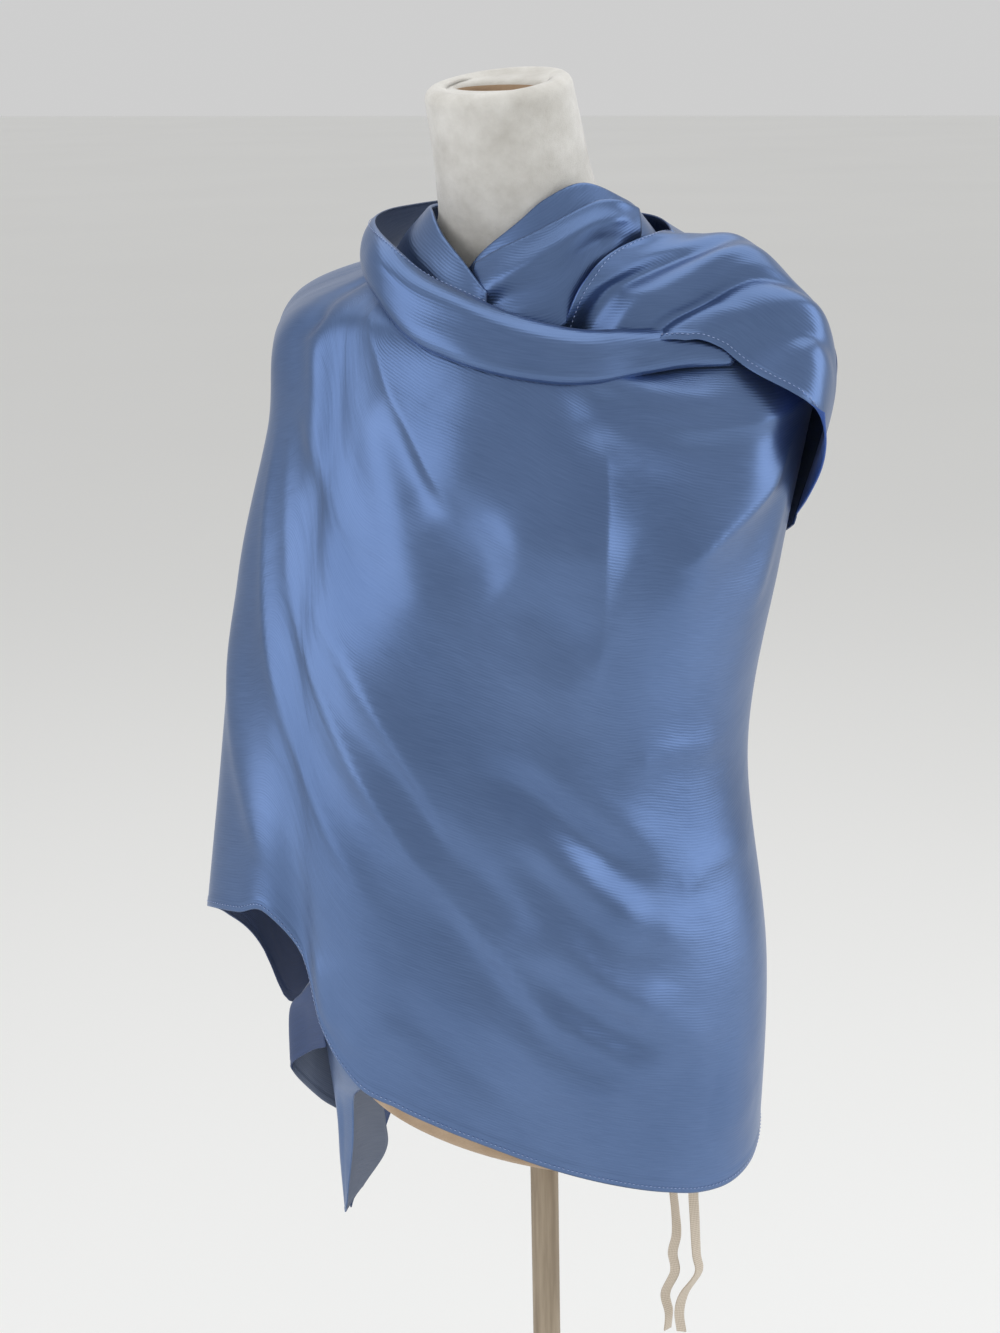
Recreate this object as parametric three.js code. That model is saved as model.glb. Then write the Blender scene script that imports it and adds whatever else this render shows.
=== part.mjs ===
// Evening stole worn on a limbless dress form that stands on a pole and a round base.
// Units are millimetres and +Z is up. The front of the form faces -Y, the wearer's left is +X.
// Angles in the tables are degrees round the pole from the front, growing toward the wearer's left.
// Heights in the tables are above the level of the form's hips, 780 above the floor.

import * as THREE from 'three';

// Driving sizes
const form_base = 780;
const form_underside = -12;
const cloth_wall = 1.6;
const seam_gap = 0.3;
const form_clearance = 1.8;
const pole_diameter = 22;
const base_diameter = 340;
const base_height = 10;
const flange_diameter = 64;
const flange_height = 26;
const tape_width = 7.5;

const part = new THREE.Group();
part.name = 'evening_stole_on_dress_form';

function material(color, roughness, metalness = 0) {
  return new THREE.MeshStandardMaterial({ color, roughness, metalness });
}

const materials = {
  stole: material('#566f9e', 0.45),
  stole_inside: material('#47598a', 0.55),
  jersey: material('#d9d7d0', 0.95),
  pole: material('#a2937f', 0.5, 0.2),
  base: material('#b4aca0', 0.45, 0.4),
  tape: material('#c9bba8', 0.9),
};

// Smooth curve through values given at rising stations, straight beyond both ends
function smoothThrough(stations, values, x) {
  const last = stations.length - 1;
  const slopes = [];
  for (let i = 0; i < last; i += 1) {
    slopes.push((values[i + 1] - values[i]) / (stations[i + 1] - stations[i]));
  }
  const tangent = (i) => {
    if (i === 0) return slopes[0];
    if (i === last) return slopes[last - 1];
    const before = stations[i] - stations[i - 1];
    const after = stations[i + 1] - stations[i];
    return (slopes[i - 1] * after + slopes[i] * before) / (before + after);
  };
  if (x <= stations[0]) return values[0] + slopes[0] * (x - stations[0]);
  if (x >= stations[last]) return values[last] + slopes[last - 1] * (x - stations[last]);
  let i = 0;
  while (x > stations[i + 1]) i += 1;
  const width = stations[i + 1] - stations[i];
  const t = (x - stations[i]) / width;
  const rise = t * t * (3 - 2 * t);
  return values[i] * (1 - rise) + values[i + 1] * rise
    + width * t * (1 - t) * ((1 - t) * tangent(i) - t * tangent(i + 1));
}

// One row of a table at any value of its first column
function rowAt(columns, rows, x) {
  const stations = rows.map((row) => row[0]);
  const result = {};
  columns.forEach((column, k) => {
    result[column] = smoothThrough(stations, rows.map((row) => row[k]), x);
  });
  return result;
}

function aroundPole(angle, radius, height) {
  const a = THREE.MathUtils.degToRad(angle);
  return new THREE.Vector3(radius * Math.sin(a), -radius * Math.cos(a), form_base + height);
}

// Dress form: oval rings from the underside to the top of the neck
const form_columns = ['height', 'half_width', 'half_depth', 'centre_y', 'shoulder_back'];
const form_rings = [
  [-12, 159, 97, 6, 0],
  [-6, 165, 104, 6, 0],
  [4, 167, 107, 6, 0],
  [22, 169, 110, 6, 0],
  [60, 170, 112, 6, 0],
  [120, 168, 112, 5, 0],
  [200, 146, 100, 2, 0],
  [270, 121, 88, 0, 0],
  [335, 128, 93, -3, 0],
  [400, 142, 107, -7, 0],
  [450, 150, 114, -9, 0],
  [500, 162, 106, -5, 4],
  [545, 178, 80, 0, 12],
  [575, 187, 58, 0, 18],
  [592, 184, 51, 0, 20],
  [608, 170, 49, 0, 20],
  [622, 144, 50, -2, 17],
  [636, 106, 53, -4, 11],
  [648, 76, 54, -6, 5],
  [664, 60, 54, -10, 0],
  [690, 53, 53, -19, 0],
  [725, 50, 51, -30, 0],
  [749, 49, 49, -38, 0],
];
const neck_start = 640;
const neck_end = 755;
const neck_tilt = THREE.MathUtils.degToRad(10.6);

function formPoint(angle, height) {
  const ring = rowAt(form_columns, form_rings, height);
  const a = THREE.MathUtils.degToRad(angle);
  const depth = -ring.half_depth * Math.cos(a) + ring.shoulder_back * Math.sin(a) ** 2;
  const tilt = neck_tilt * THREE.MathUtils.clamp((height - neck_start) / (neck_end - neck_start), 0, 1);
  return new THREE.Vector3(
    ring.half_width * Math.sin(a),
    ring.centre_y + depth * Math.cos(tilt),
    form_base + height + depth * Math.sin(tilt),
  );
}

// Distance from the pole's axis to the form's skin in one direction
function formReach(angle, height) {
  const ring = rowAt(form_columns, form_rings, THREE.MathUtils.clamp(height, form_underside, neck_end));
  const skin = (t) => new THREE.Vector2(
    ring.half_width * Math.sin(t),
    ring.centre_y - ring.half_depth * Math.cos(t) + ring.shoulder_back * Math.sin(t) ** 2,
  );
  const direction = THREE.MathUtils.degToRad(THREE.MathUtils.euclideanModulo(angle + 180, 360) - 180);
  let low = direction - 1.2;
  let high = direction + 1.2;
  for (let k = 0; k < 24; k += 1) {
    const middle = (low + high) / 2;
    const p = skin(middle);
    const cross = p.x * -Math.cos(direction) - p.y * Math.sin(direction);
    if (cross < 0) high = middle;
    else low = middle;
  }
  return skin(low).length();
}

// Closed solid from a stack of rings, with flat ends
function ringSolid(rings) {
  const sides = rings[0].length;
  const positions = [];
  const index = [];
  rings.forEach((ring) => ring.forEach((p) => positions.push(p.x, p.y, p.z)));
  for (let i = 0; i < rings.length - 1; i += 1) {
    for (let j = 0; j < sides; j += 1) {
      const a = i * sides + j;
      const b = i * sides + ((j + 1) % sides);
      index.push(a, b, b + sides, a, b + sides, a + sides);
    }
  }
  [0, rings.length - 1].forEach((i) => {
    const centre = rings[i].reduce((sum, p) => sum.add(p), new THREE.Vector3()).divideScalar(sides);
    const c = positions.length / 3;
    positions.push(centre.x, centre.y, centre.z);
    for (let j = 0; j < sides; j += 1) {
      const a = i * sides + j;
      const b = i * sides + ((j + 1) % sides);
      if (i === 0) index.push(c, b, a);
      else index.push(c, a, b);
    }
  });
  return indexed(positions, index);
}

function indexed(positions, index) {
  const geometry = new THREE.BufferGeometry();
  geometry.setAttribute('position', new THREE.Float32BufferAttribute(positions, 3));
  geometry.setIndex(index);
  geometry.computeVertexNormals();
  return geometry;
}

function addMesh(name, geometry, surface) {
  const mesh = new THREE.Mesh(geometry, surface);
  mesh.name = name;
  part.add(mesh);
  return mesh;
}

// Cloth wall: the outer face is at(u, v), the inner face lies one wall inside it
function addCloth(name, at, columns, rows, surface = materials.stole) {
  const positions = [];
  const index = [];
  const step = 0.002;
  const outer = [];
  const inner = [];
  for (let i = 0; i <= columns; i += 1) {
    for (let j = 0; j <= rows; j += 1) {
      const u = i / columns;
      const v = j / rows;
      const p = at(u, v);
      const du = at(Math.min(u + step, 1), v).sub(at(Math.max(u - step, 0), v));
      const dv = at(u, Math.min(v + step, 1)).sub(at(u, Math.max(v - step, 0)));
      const normal = du.cross(dv).normalize();
      outer.push(p);
      inner.push(p.clone().addScaledVector(normal, -cloth_wall));
    }
  }
  [...outer, ...inner].forEach((p) => positions.push(p.x, p.y, p.z));
  const shift = outer.length;
  const at_grid = (i, j) => i * (rows + 1) + j;
  for (let i = 0; i < columns; i += 1) {
    for (let j = 0; j < rows; j += 1) {
      const [a, b, c, d] = [at_grid(i, j), at_grid(i + 1, j), at_grid(i + 1, j + 1), at_grid(i, j + 1)];
      index.push(a, b, c, a, c, d);
      index.push(a + shift, c + shift, b + shift, a + shift, d + shift, c + shift);
    }
  }
  const rim = [];
  for (let i = 0; i <= columns; i += 1) rim.push(at_grid(i, 0));
  for (let j = 1; j <= rows; j += 1) rim.push(at_grid(columns, j));
  for (let i = columns - 1; i >= 0; i -= 1) rim.push(at_grid(i, rows));
  for (let j = rows - 1; j >= 1; j -= 1) rim.push(at_grid(0, j));
  rim.forEach((a, k) => {
    const b = rim[(k + 1) % rim.length];
    index.push(a, a + shift, b + shift, a, b + shift, b);
  });
  return addMesh(name, indexed(positions, index), surface);
}

// Stand
function addTurned(name, diameter, bottom, top, sides, surface) {
  const geometry = new THREE.CylinderGeometry(diameter / 2, diameter / 2, top - bottom, sides);
  geometry.rotateX(Math.PI / 2);
  geometry.translate(0, 0, (top + bottom) / 2);
  addMesh(name, geometry, surface);
}

addTurned('base_plate', base_diameter, 0, base_height, 36, materials.base);
addTurned('pole_flange', flange_diameter, base_height + seam_gap, base_height + flange_height, 24, materials.base);
addTurned('pole', pole_diameter, base_height + flange_height + seam_gap, form_base + form_underside - seam_gap, 16, materials.pole);

// Dress form body with a rounded rim at the top of the neck
const form_sides = 36;
const form_steps = 30;
const rim_rise = 6;
const rim_inset = 7;
const neck_top_width = 49;
const form_rings_3d = [];
for (let i = 0; i <= form_steps; i += 1) {
  const row = (i / form_steps) * (form_rings.length - 1);
  const height = smoothThrough(form_rings.map((_, k) => k), form_rings.map((ring) => ring[0]), row);
  const ring = [];
  for (let j = 0; j < form_sides; j += 1) ring.push(formPoint((j * 360) / form_sides, height));
  form_rings_3d.push(ring);
}
const neck_top = form_rings_3d[form_steps];
const neck_centre = neck_top.reduce((sum, p) => sum.add(p), new THREE.Vector3()).divideScalar(form_sides);
const neck_up = new THREE.Vector3(0, -Math.sin(neck_tilt), Math.cos(neck_tilt));
[0.35, 1].forEach((t) => {
  const inset = 1 - (rim_inset / neck_top_width) * t * t;
  const rise = rim_rise * Math.sqrt(1 - (1 - t) * (1 - t));
  form_rings_3d.push(neck_top.map((p) => (
    p.clone().sub(neck_centre).multiplyScalar(inset).add(neck_centre).addScaledVector(neck_up, rise))));
});
addMesh('dress_form', ringSolid(form_rings_3d), materials.jersey);

// Folds pressed into the wrap: a path of three points, its height and the reach on both sides
const fold_columns = ['angle_1', 'height_1', 'angle_2', 'height_2', 'angle_3', 'height_3', 'rise', 'reach'];
const wrap_folds = [
  [-52, 560, -44, 330, -27, 130, 5, 26],
  [-42, 480, -30, 300, -4, 110, 6, 24],
  [-22, 600, -6, 470, 6, 400, 5, 22],
  [-22, 400, -8, 290, 8, 200, 9, 26],
  [-6, 330, 6, 220, 34, 90, -7, 22],
  [22, 290, 40, 225, 62, 190, 6, 20],
  [20, 205, 42, 160, 72, 130, 5, 18],
  [12, 165, 34, 90, 66, 62, 5, 18],
  [92, 530, 76, 470, 58, 400, 6, 22],
];
const mean_radius = 150;

function foldRise(folds, angle, height) {
  let rise = 0;
  folds.forEach(([a1, h1, a2, h2, a3, h3, top, reach]) => {
    const scale = THREE.MathUtils.degToRad(mean_radius);
    let best = Infinity;
    let best_t = 0;
    for (let k = 0; k <= 24; k += 1) {
      const t = k / 24;
      const a = a1 * (1 - t) * (1 - 2 * t) + a2 * 4 * t * (1 - t) + a3 * t * (2 * t - 1);
      const h = h1 * (1 - t) * (1 - 2 * t) + h2 * 4 * t * (1 - t) + h3 * t * (2 * t - 1);
      const distance = Math.hypot((angle - a) * scale, height - h);
      if (distance < best) {
        best = distance;
        best_t = t;
      }
    }
    rise += top * Math.exp(-((best / reach) ** 2)) * Math.sin(Math.PI * THREE.MathUtils.lerp(0.12, 0.88, best_t));
  });
  return rise;
}

// The wrap is one spiral of cloth: outer back, right side, front, left side, then the under layer
const wrap_columns = ['angle', 'hem', 'low', 'hip', 'waist', 'bust', 'chest',
  'shoulder_radius', 'shoulder_height', 'top_radius', 'top_height'];
const wrap_levels = { low: -60, hip: 130, waist: 290, bust: 430, chest: 525 };
const wrap_rows = [
  [-250, 455, 150, 160, 165, 178, 204, 200, 592, 97, 656],
  [-230, 430, 150, 158, 160, 176, 182, 164, 610, 92, 662],
  [-210, 392, 148, 156, 154, 162, 160, 132, 616, 88, 664],
  [-180, 312, 140, 144, 138, 130, 128, 108, 614, 86, 662],
  [-150, 218, 158, 164, 160, 152, 142, 126, 612, 92, 655],
  [-120, 122, 205, 207, 202, 190, 178, 164, 610, 98, 648],
  [-100, 52, 220, 218, 214, 207, 200, 192, 607, 102, 644],
  [-88, 28, 222, 222, 219, 211, 204, 196, 605, 103, 643],
  [-80, 44, 221, 224, 221, 208, 197, 188, 602, 104, 641],
  [-74, 95, 222, 228, 224, 207, 191, 181, 600, 105, 638],
  [-62, 148, 250, 242, 228, 206, 186, 174, 599, 107, 635],
  [-52, 173, 276, 255, 230, 206, 184, 170, 598, 108, 633],
  [-42, 184, 262, 236, 212, 191, 172, 156, 600, 112, 629],
  [-36, 190, 236, 219, 199, 182, 164, 148, 600, 114, 625],
  [-31, 160, 200, 195, 187, 175, 157, 140, 599, 114, 622],
  [-26, 103, 181, 189, 180, 171, 153, 134, 597, 114, 619],
  [-20, 71, 172, 180, 172, 164, 147, 130, 593, 114, 616],
  [-10, 53, 155, 165, 160, 155, 140, 128, 586, 114, 612],
  [0, 41, 144, 154, 151, 147, 136, 127, 582, 113, 608],
  [15, 28, 138, 146, 143, 141, 133, 126, 577, 112, 604],
  [35, 11, 140, 147, 142, 146, 137, 126, 572, 112, 598],
  [50, -3, 143, 151, 141, 152, 144, 127, 564, 116, 588],
  [65, -16, 152, 158, 143, 156, 156, 143, 552, 122, 580],
  [75, -24, 159, 164, 145, 161, 170, 164, 549, 134, 590],
  [85, -27, 166, 170, 148, 167, 184, 188, 552, 160, 602],
  [95, -24, 169, 174, 151, 172, 190, 197, 560, 178, 606],
  [113, -8, 165, 169, 154, 174, 190, 193, 560, 178, 600],
  [130, -14, 150, 158, 147, 163, 170, 168, 555, 150, 590],
  [150, -22, 134, 144, 134, 145, 142, 132, 550, 118, 580],
  [180, -30, 124, 130, 120, 116, 114, 106, 530, 98, 560],
  [210, -40, 132, 136, 130, 132, 122, 120, 500, 118, 520],
  [240, -55, 160, 166, 152, 160, 160, 158, 450, 154, 470],
  [256, -80, 176, 182, 170, 174, 178, 174, 420, 170, 440],
  [263, -108, 176, 183, 174, 180, 184, 178, 410, 174, 430],
  [272, -122, 174, 182, 176, 184, 188, 180, 405, 176, 425],
  [285, -137, 170, 178, 176, 186, 190, 180, 400, 176, 420],
];

function wrapPoint(angle, s) {
  const row = rowAt(wrap_columns, wrap_rows, angle);
  const knots = [0, 1, 2, 3, 4, 5, 6];
  const heights = [...Object.values(wrap_levels), row.shoulder_height, row.top_height];
  const radii = [row.low, row.hip, row.waist, row.bust, row.chest, row.shoulder_radius, row.top_radius];
  const height = smoothThrough(knots, heights, s);
  let radius = smoothThrough(knots, radii, s) + foldRise(wrap_folds, angle, height);
  radius = Math.max(radius, formReach(angle, height) + cloth_wall + form_clearance);
  return { angle, radius, height };
}

// Station on the profile where it meets the hem
function hemStation(angle) {
  const row = rowAt(wrap_columns, wrap_rows, angle);
  let low = -1;
  let high = 5;
  for (let k = 0; k < 30; k += 1) {
    const middle = (low + high) / 2;
    if (wrapPoint(angle, middle).height < row.hem) low = middle;
    else high = middle;
  }
  return low;
}

function wrapSheet(from, to) {
  const hems = new Map();
  return (u, v) => {
    const angle = from + (to - from) * u;
    if (!hems.has(angle)) hems.set(angle, hemStation(angle));
    const hem = hems.get(angle);
    const p = wrapPoint(angle, hem + (6 - hem) * v);
    return aroundPole(p.angle, p.radius, p.height);
  };
}

const seam_degrees = 0.12;
addCloth('back_panel', wrapSheet(-250 + seam_degrees, -60), 26, 15);
addCloth('front_panel', wrapSheet(-60 + seam_degrees, 118), 30, 17);
addCloth('under_panel', wrapSheet(118 + seam_degrees, 283.6), 20, 11, materials.stole_inside);

// Collar: the stole's upper edge, rolled across the front and standing round the wearer's right side
const collar_columns = ['angle', 'radius', 'height', 'half_height', 'bulge', 'lean', 'open'];
const collar_rows = [
  [-150, 98, 666, 8, 3, 0, 70],
  [-120, 98, 663, 11, 4, 4, 70],
  [-90, 100, 660, 13, 6, 6, 72],
  [-70, 105, 656, 16, 7, 4, 76],
  [-50, 114, 652, 17, 9, 2, 84],
  [-35, 124, 647, 18, 11, 6, 92],
  [-22, 131, 640, 19, 12, 12, 98],
  [-8, 133, 624, 22, 13, 22, 100],
  [8, 131, 612, 23, 13, 28, 100],
  [25, 130, 600, 21, 12, 28, 100],
  [45, 132, 591, 18, 11, 22, 100],
  [65, 139, 588, 12, 9, 12, 100],
  [73, 152, 587, 9, 7, 6, 100],
  [80, 170, 584, 6, 5, 0, 100],
];

function collarSheet(from, to) {
  return (u, v) => {
    const angle = from + (to - from) * u;
    const row = rowAt(collar_columns, collar_rows, angle);
    const turn = THREE.MathUtils.degToRad(row.open * (2 * v - 1));
    const out = row.bulge * (Math.cos(turn) - 1);
    const up = row.half_height * Math.sin(turn) / Math.sin(THREE.MathUtils.degToRad(Math.min(row.open, 90)));
    const lean = THREE.MathUtils.degToRad(row.lean);
    const radius = row.radius + out * Math.cos(lean) - up * Math.sin(lean);
    const height = row.height + up * Math.cos(lean) + out * Math.sin(lean);
    return aroundPole(angle, radius, height);
  };
}

addCloth('collar_roll', collarSheet(-45 + seam_degrees, 80), 24, 9);
addCloth('collar_stand', collarSheet(-150, -45), 14, 7);

// Sheet through sections of points given as angle, radius and height
function polarPatch(sections) {
  return (u, v) => {
    const rows = sections.map((_, k) => k);
    const x = u * (sections.length - 1);
    const y = v * (sections[0].length - 1);
    const knots = sections[0].map((_, k) => k);
    const value = (axis) => smoothThrough(rows, sections.map((section) => (
      smoothThrough(knots, section.map((point) => point[axis]), y))), x);
    return aroundPole(value(0), value(1), value(2));
  };
}

// Neck wrap: inner turn of cloth round the neck, each row from the outer edge in to the top edge
const neck_wrap_left_sections = [
  [[-8, 90, 594], [-8, 87, 612], [-6, 78, 632]],
  [[8, 90, 596], [7, 86, 622], [5, 75, 649]],
  [[24, 90, 602], [23, 85, 636], [23, 72, 667]],
  [[40, 90, 610], [39, 84, 648], [39, 70, 682]],
  [[60, 92, 630], [60, 86, 664], [60, 73, 691]],
  [[85, 92, 649], [85, 88, 665], [86, 77, 685]],
  [[112, 90, 652], [112, 85, 664], [114, 73, 681]],
  [[140, 84, 650], [140, 78, 662], [142, 67, 679]],
  [[179.8, 80, 646], [179.8, 75, 662], [179.8, 65, 678]],
];
const neck_wrap_right_sections = [
  [[-179.8, 80, 646], [-179.8, 75, 662], [-179.8, 65, 678]],
  [[-150, 82, 648], [-150, 77, 661], [-150, 67, 677]],
  [[-120, 86, 650], [-120, 79, 661], [-120, 67, 675]],
  [[-90, 90, 651], [-90, 81, 661], [-90, 68, 674]],
  [[-65, 93, 646], [-64, 84, 658], [-62, 69, 674]],
  [[-44, 98, 629], [-42, 86, 652], [-40, 71, 672]],
  [[-24, 102, 618], [-20, 92, 640], [-18, 78, 658]],
  [[-8, 103, 606], [-4, 98, 628], [-1, 87, 644]],
  [[12, 101, 598], [13, 101, 612], [13, 99, 625]],
];

// Neck fold: second turn on the wearer's left, over the neck wrap
const neck_fold_sections = [
  [[2, 96, 594], [2, 95, 614], [3, 82, 642]],
  [[15, 98, 598], [15, 97, 628], [16, 83, 652]],
  [[28, 99, 604], [28, 98, 636], [30, 84, 661]],
  [[42, 100, 612], [42, 99, 648], [44, 86, 671]],
  [[55, 99, 630], [55, 99, 660], [58, 90, 680]],
  [[66, 98, 644], [66, 99, 664], [68, 95, 680]],
  [[78, 97, 652], [78, 98, 664], [79, 95, 674]],
];

addCloth('neck_wrap_left', polarPatch(neck_wrap_left_sections), 22, 5);
addCloth('neck_wrap_right', polarPatch(neck_wrap_right_sections), 22, 5);
addCloth('neck_fold', polarPatch(neck_fold_sections), 14, 5);

// Gathered short end of the stole at the wearer's right hip, under the wrap
const end_cascade_sections = [
  [[-57, 167, 42], [-57, 168, 62], [-57, 170, 84]],
  [[-62, 182, 30], [-62, 182, 62], [-62, 182, 96]],
  [[-67, 201, 6], [-67, 199, 50], [-67, 196, 104]],
  [[-70, 190, -18], [-70, 188, 30], [-70, 186, 96]],
  [[-70, 169, -40], [-70, 169, 0], [-70, 172, 84]],
];
const tail_strip_sections = [
  [[-76.1, 170, -136], [-76.1, 171, -60], [-76.1, 173, -8], [-76.1, 176, 60]],
  [[-72, 166, -133], [-70, 166, -60], [-70, 168, -8], [-70, 170, 60]],
  [[-69, 163, -128], [-66, 162, -60], [-65, 163, -8], [-64, 165, 60]],
  [[-68, 161, -122], [-61, 152, -50], [-59, 151, 2], [-54, 154, 60]],
];
addCloth('end_cascade', polarPatch(end_cascade_sections), 8, 6, materials.stole_inside);
addCloth('tail_strip', polarPatch(tail_strip_sections), 6, 8);

// Shoulder flap: rows from the neck side out, each from the front hem over the crest to the back seam
const flap_sections = [
  [[62, -76, 602], [82, -74, 633], [92, -57, 650], [105, -20, 660]],
  [[90, -62, 606], [105, -52, 631], [117, -22, 651], [122, 14, 657]],
  [[121, -59, 605], [136, -36, 622], [149, -10, 648], [150, 20, 655]],
  [[148, -44, 601], [162, -28, 618], [178, -8, 636], [182, 22, 630]],
  [[179, -32, 577], [196, -18, 600], [208, 2, 610], [203, 34, 602]],
  [[206, -25, 563], [217, -10, 578], [219, 8, 574], [211, 36, 556]],
  [[224, -15, 550], [219, 2, 526], [208, 22, 504], [191, 42, 480]],
];
const flap_back_stations = [6, 5.8, 5.55, 5.25, 4.8, 4.1, 3.3];

function flapPoint(u, v) {
  const rows = flap_sections.map((_, k) => k);
  const knots = [0, 1, 2, 3, 4];
  const ends = flap_back_stations.map((s) => {
    const p = wrapPoint(-250, s);
    const end = aroundPole(-250 - 2 * seam_degrees, p.radius, p.height);
    return [end.x, end.y, end.z - form_base];
  });
  const x = u * (rows.length - 1);
  const y = v * 4;
  const value = (axis) => smoothThrough(rows, flap_sections.map((section, k) => (
    smoothThrough(knots, [...section.map((point) => point[axis]), ends[k][axis]], y))), x);
  return new THREE.Vector3(value(0), value(1), form_base + value(2));
}

addCloth('shoulder_flap', flapPoint, 14, 11);

// Two tapes that hang free from the form's underside, as round tubes of the tape's width
const tape_routes = {
  tape_front: [[110, 0, 0], [111, 0, -28], [115, 0, -63], [116, 0, -83], [113, 0, -100], [115, 0, -116],
    [107, 0, -138], [110, 0, -154], [109, 0, -170]],
  tape_back: [[131, 0, 0], [131, 0, -18], [130, 0, -42], [131, 0, -60], [133, 0, -94], [135, 0, -110],
    [123, 0, -133], [119, 0, -151], [121, 0, -168]],
};
Object.entries(tape_routes).forEach(([name, route]) => {
  const path = new THREE.CatmullRomCurve3(route.map(([x, y, z]) => (
    new THREE.Vector3(x, y, form_base + form_underside - seam_gap + z))));
  const section = new THREE.Shape(new THREE.EllipseCurve(0, 0, tape_width / 2, tape_width / 2).getPoints(8));
  const settings = { steps: 14, extrudePath: path, bevelEnabled: false };
  addMesh(name, new THREE.ExtrudeGeometry(section, settings), materials.tape);
});

export default part;
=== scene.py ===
# %% [markdown]
# An evening stole on a dress form.
# The stole is one light, satin-faced, finely ribbed cloth, wound nearly two turns round a limbless form on a pole.
# The frame brings in the CAD model, and every piece below is built in its space and in metres.
# The tables keep the millimetres and the degrees of the CAD model, so that cloth and solid have one shape.

# %% The frame
import math
import bpy
import bmesh
import numpy as np
from mathutils import Matrix, Vector


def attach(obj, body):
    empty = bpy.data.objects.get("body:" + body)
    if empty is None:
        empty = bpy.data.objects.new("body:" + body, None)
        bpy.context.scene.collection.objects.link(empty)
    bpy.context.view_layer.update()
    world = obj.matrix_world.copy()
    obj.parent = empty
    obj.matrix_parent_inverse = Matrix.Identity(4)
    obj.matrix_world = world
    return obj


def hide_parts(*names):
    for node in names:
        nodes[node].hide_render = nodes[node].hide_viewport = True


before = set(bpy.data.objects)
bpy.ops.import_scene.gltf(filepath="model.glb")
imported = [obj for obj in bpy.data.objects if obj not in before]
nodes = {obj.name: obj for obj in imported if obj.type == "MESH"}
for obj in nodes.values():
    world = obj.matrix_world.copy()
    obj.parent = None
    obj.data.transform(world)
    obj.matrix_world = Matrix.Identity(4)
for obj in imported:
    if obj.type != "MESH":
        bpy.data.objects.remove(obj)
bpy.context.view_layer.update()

MM = 0.001
FORM_BASE = 780

# %% [markdown]
# The camera stands a good arm's length in front of the wearer's left side and looks slightly down.
# Its place and its turn were fitted to the outline of the form and the stole in the photograph.
# The image is 1000 by 1333 and the sensor's long side is the upright one.
# So the lens follows from the focal length in pixels.

# %% The camera
FOCAL_PX = 2000
IMAGE_LONG = 1333
SENSOR_MM = 36
camera_distance, camera_height = 1395, 1558
camera_azimuth, camera_yaw = math.radians(30), math.radians(31.1)
camera_pitch, camera_roll = math.radians(17.25), math.radians(-1.2)


def make_camera():
    place = Vector((camera_distance * math.sin(camera_azimuth),
                    -camera_distance * math.cos(camera_azimuth), camera_height)) * MM
    forward = Vector((-math.sin(camera_yaw) * math.cos(camera_pitch),
                      math.cos(camera_yaw) * math.cos(camera_pitch), -math.sin(camera_pitch)))
    level = Vector((math.cos(camera_yaw), math.sin(camera_yaw), 0))
    upright = level.cross(forward)
    right = level * math.cos(camera_roll) + upright * math.sin(camera_roll)
    up = upright * math.cos(camera_roll) - level * math.sin(camera_roll)
    data = bpy.data.cameras.new("camera")
    data.sensor_fit = "VERTICAL"
    data.sensor_height = SENSOR_MM
    data.sensor_width = SENSOR_MM
    data.lens = FOCAL_PX / IMAGE_LONG * SENSOR_MM
    camera = bpy.data.objects.new("camera", data)
    bpy.context.scene.collection.objects.link(camera)
    turn = Matrix((right, up, -forward)).transposed().to_4x4()
    camera.matrix_world = Matrix.Translation(place) @ turn
    bpy.context.scene.camera = camera
    return camera


camera = make_camera()
print("camera lens", round(camera.data.lens, 2))

# %% [markdown]
# A material is a small tree of nodes.
# One function turns a colour from sRGB hex to the linear values that the renderer adds up in.
# One more adds a node with its settings, its values and its links.
# The short ones after it name the kinds that come back in every finish: noise, bands, a bump, a worn roughness.

# %% Colours and nodes
WAVE_PERIOD = 2 * math.pi / 20


def linear(hex_colour):
    parts = [int(hex_colour[i:i + 2], 16) / 255 for i in (1, 3, 5)]
    return tuple(c / 12.92 if c <= 0.04045 else ((c + 0.055) / 1.055) ** 2.4 for c in parts) + (1.0,)


def add_node(tree, kind, values=None, links=None, **settings):
    made = tree.nodes.new(kind)
    for key, value in settings.items():
        setattr(made, key, value)
    for key, value in (values or {}).items():
        made.inputs[key].default_value = value
    for key, source in (links or {}).items():
        tree.links.new(source, made.inputs[key])
    return made


def new_material(name):
    made = bpy.data.materials.new(name)
    made.use_nodes = True
    made.node_tree.nodes.clear()
    return made, made.node_tree


def ramp_between(tree, factor, low, high, start=0.0, end=1.0):
    ramp = add_node(tree, "ShaderNodeValToRGB", links={"Fac": factor})
    ramp.color_ramp.elements[0].position = start
    ramp.color_ramp.elements[1].position = end
    ramp.color_ramp.elements[0].color = linear(low)
    ramp.color_ramp.elements[1].color = linear(high)
    return ramp.outputs["Color"]


def on_object(tree):
    return add_node(tree, "ShaderNodeTexCoord").outputs["Object"]


def on_cloth(tree):
    return add_node(tree, "ShaderNodeUVMap", uv_map="cloth").outputs["UV"]


def stretched(tree, place, scale, turn=0.0):
    values = {"Scale": scale, "Rotation": (0.0, 0.0, turn)}
    return add_node(tree, "ShaderNodeMapping", values, {"Vector": place}).outputs["Vector"]


def noise(tree, place, scale, detail=2.0, roughness=0.5):
    values = {"Scale": scale, "Detail": detail, "Roughness": roughness}
    return add_node(tree, "ShaderNodeTexNoise", values, {"Vector": place}).outputs["Fac"]


def bands(tree, place, pitch, direction, distortion, detail_scale=1.0):
    values = {"Scale": WAVE_PERIOD / pitch, "Distortion": distortion, "Detail": 1.0, "Detail Scale": detail_scale}
    return add_node(tree, "ShaderNodeTexWave", values, {"Vector": place}, bands_direction=direction).outputs["Fac"]


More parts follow.
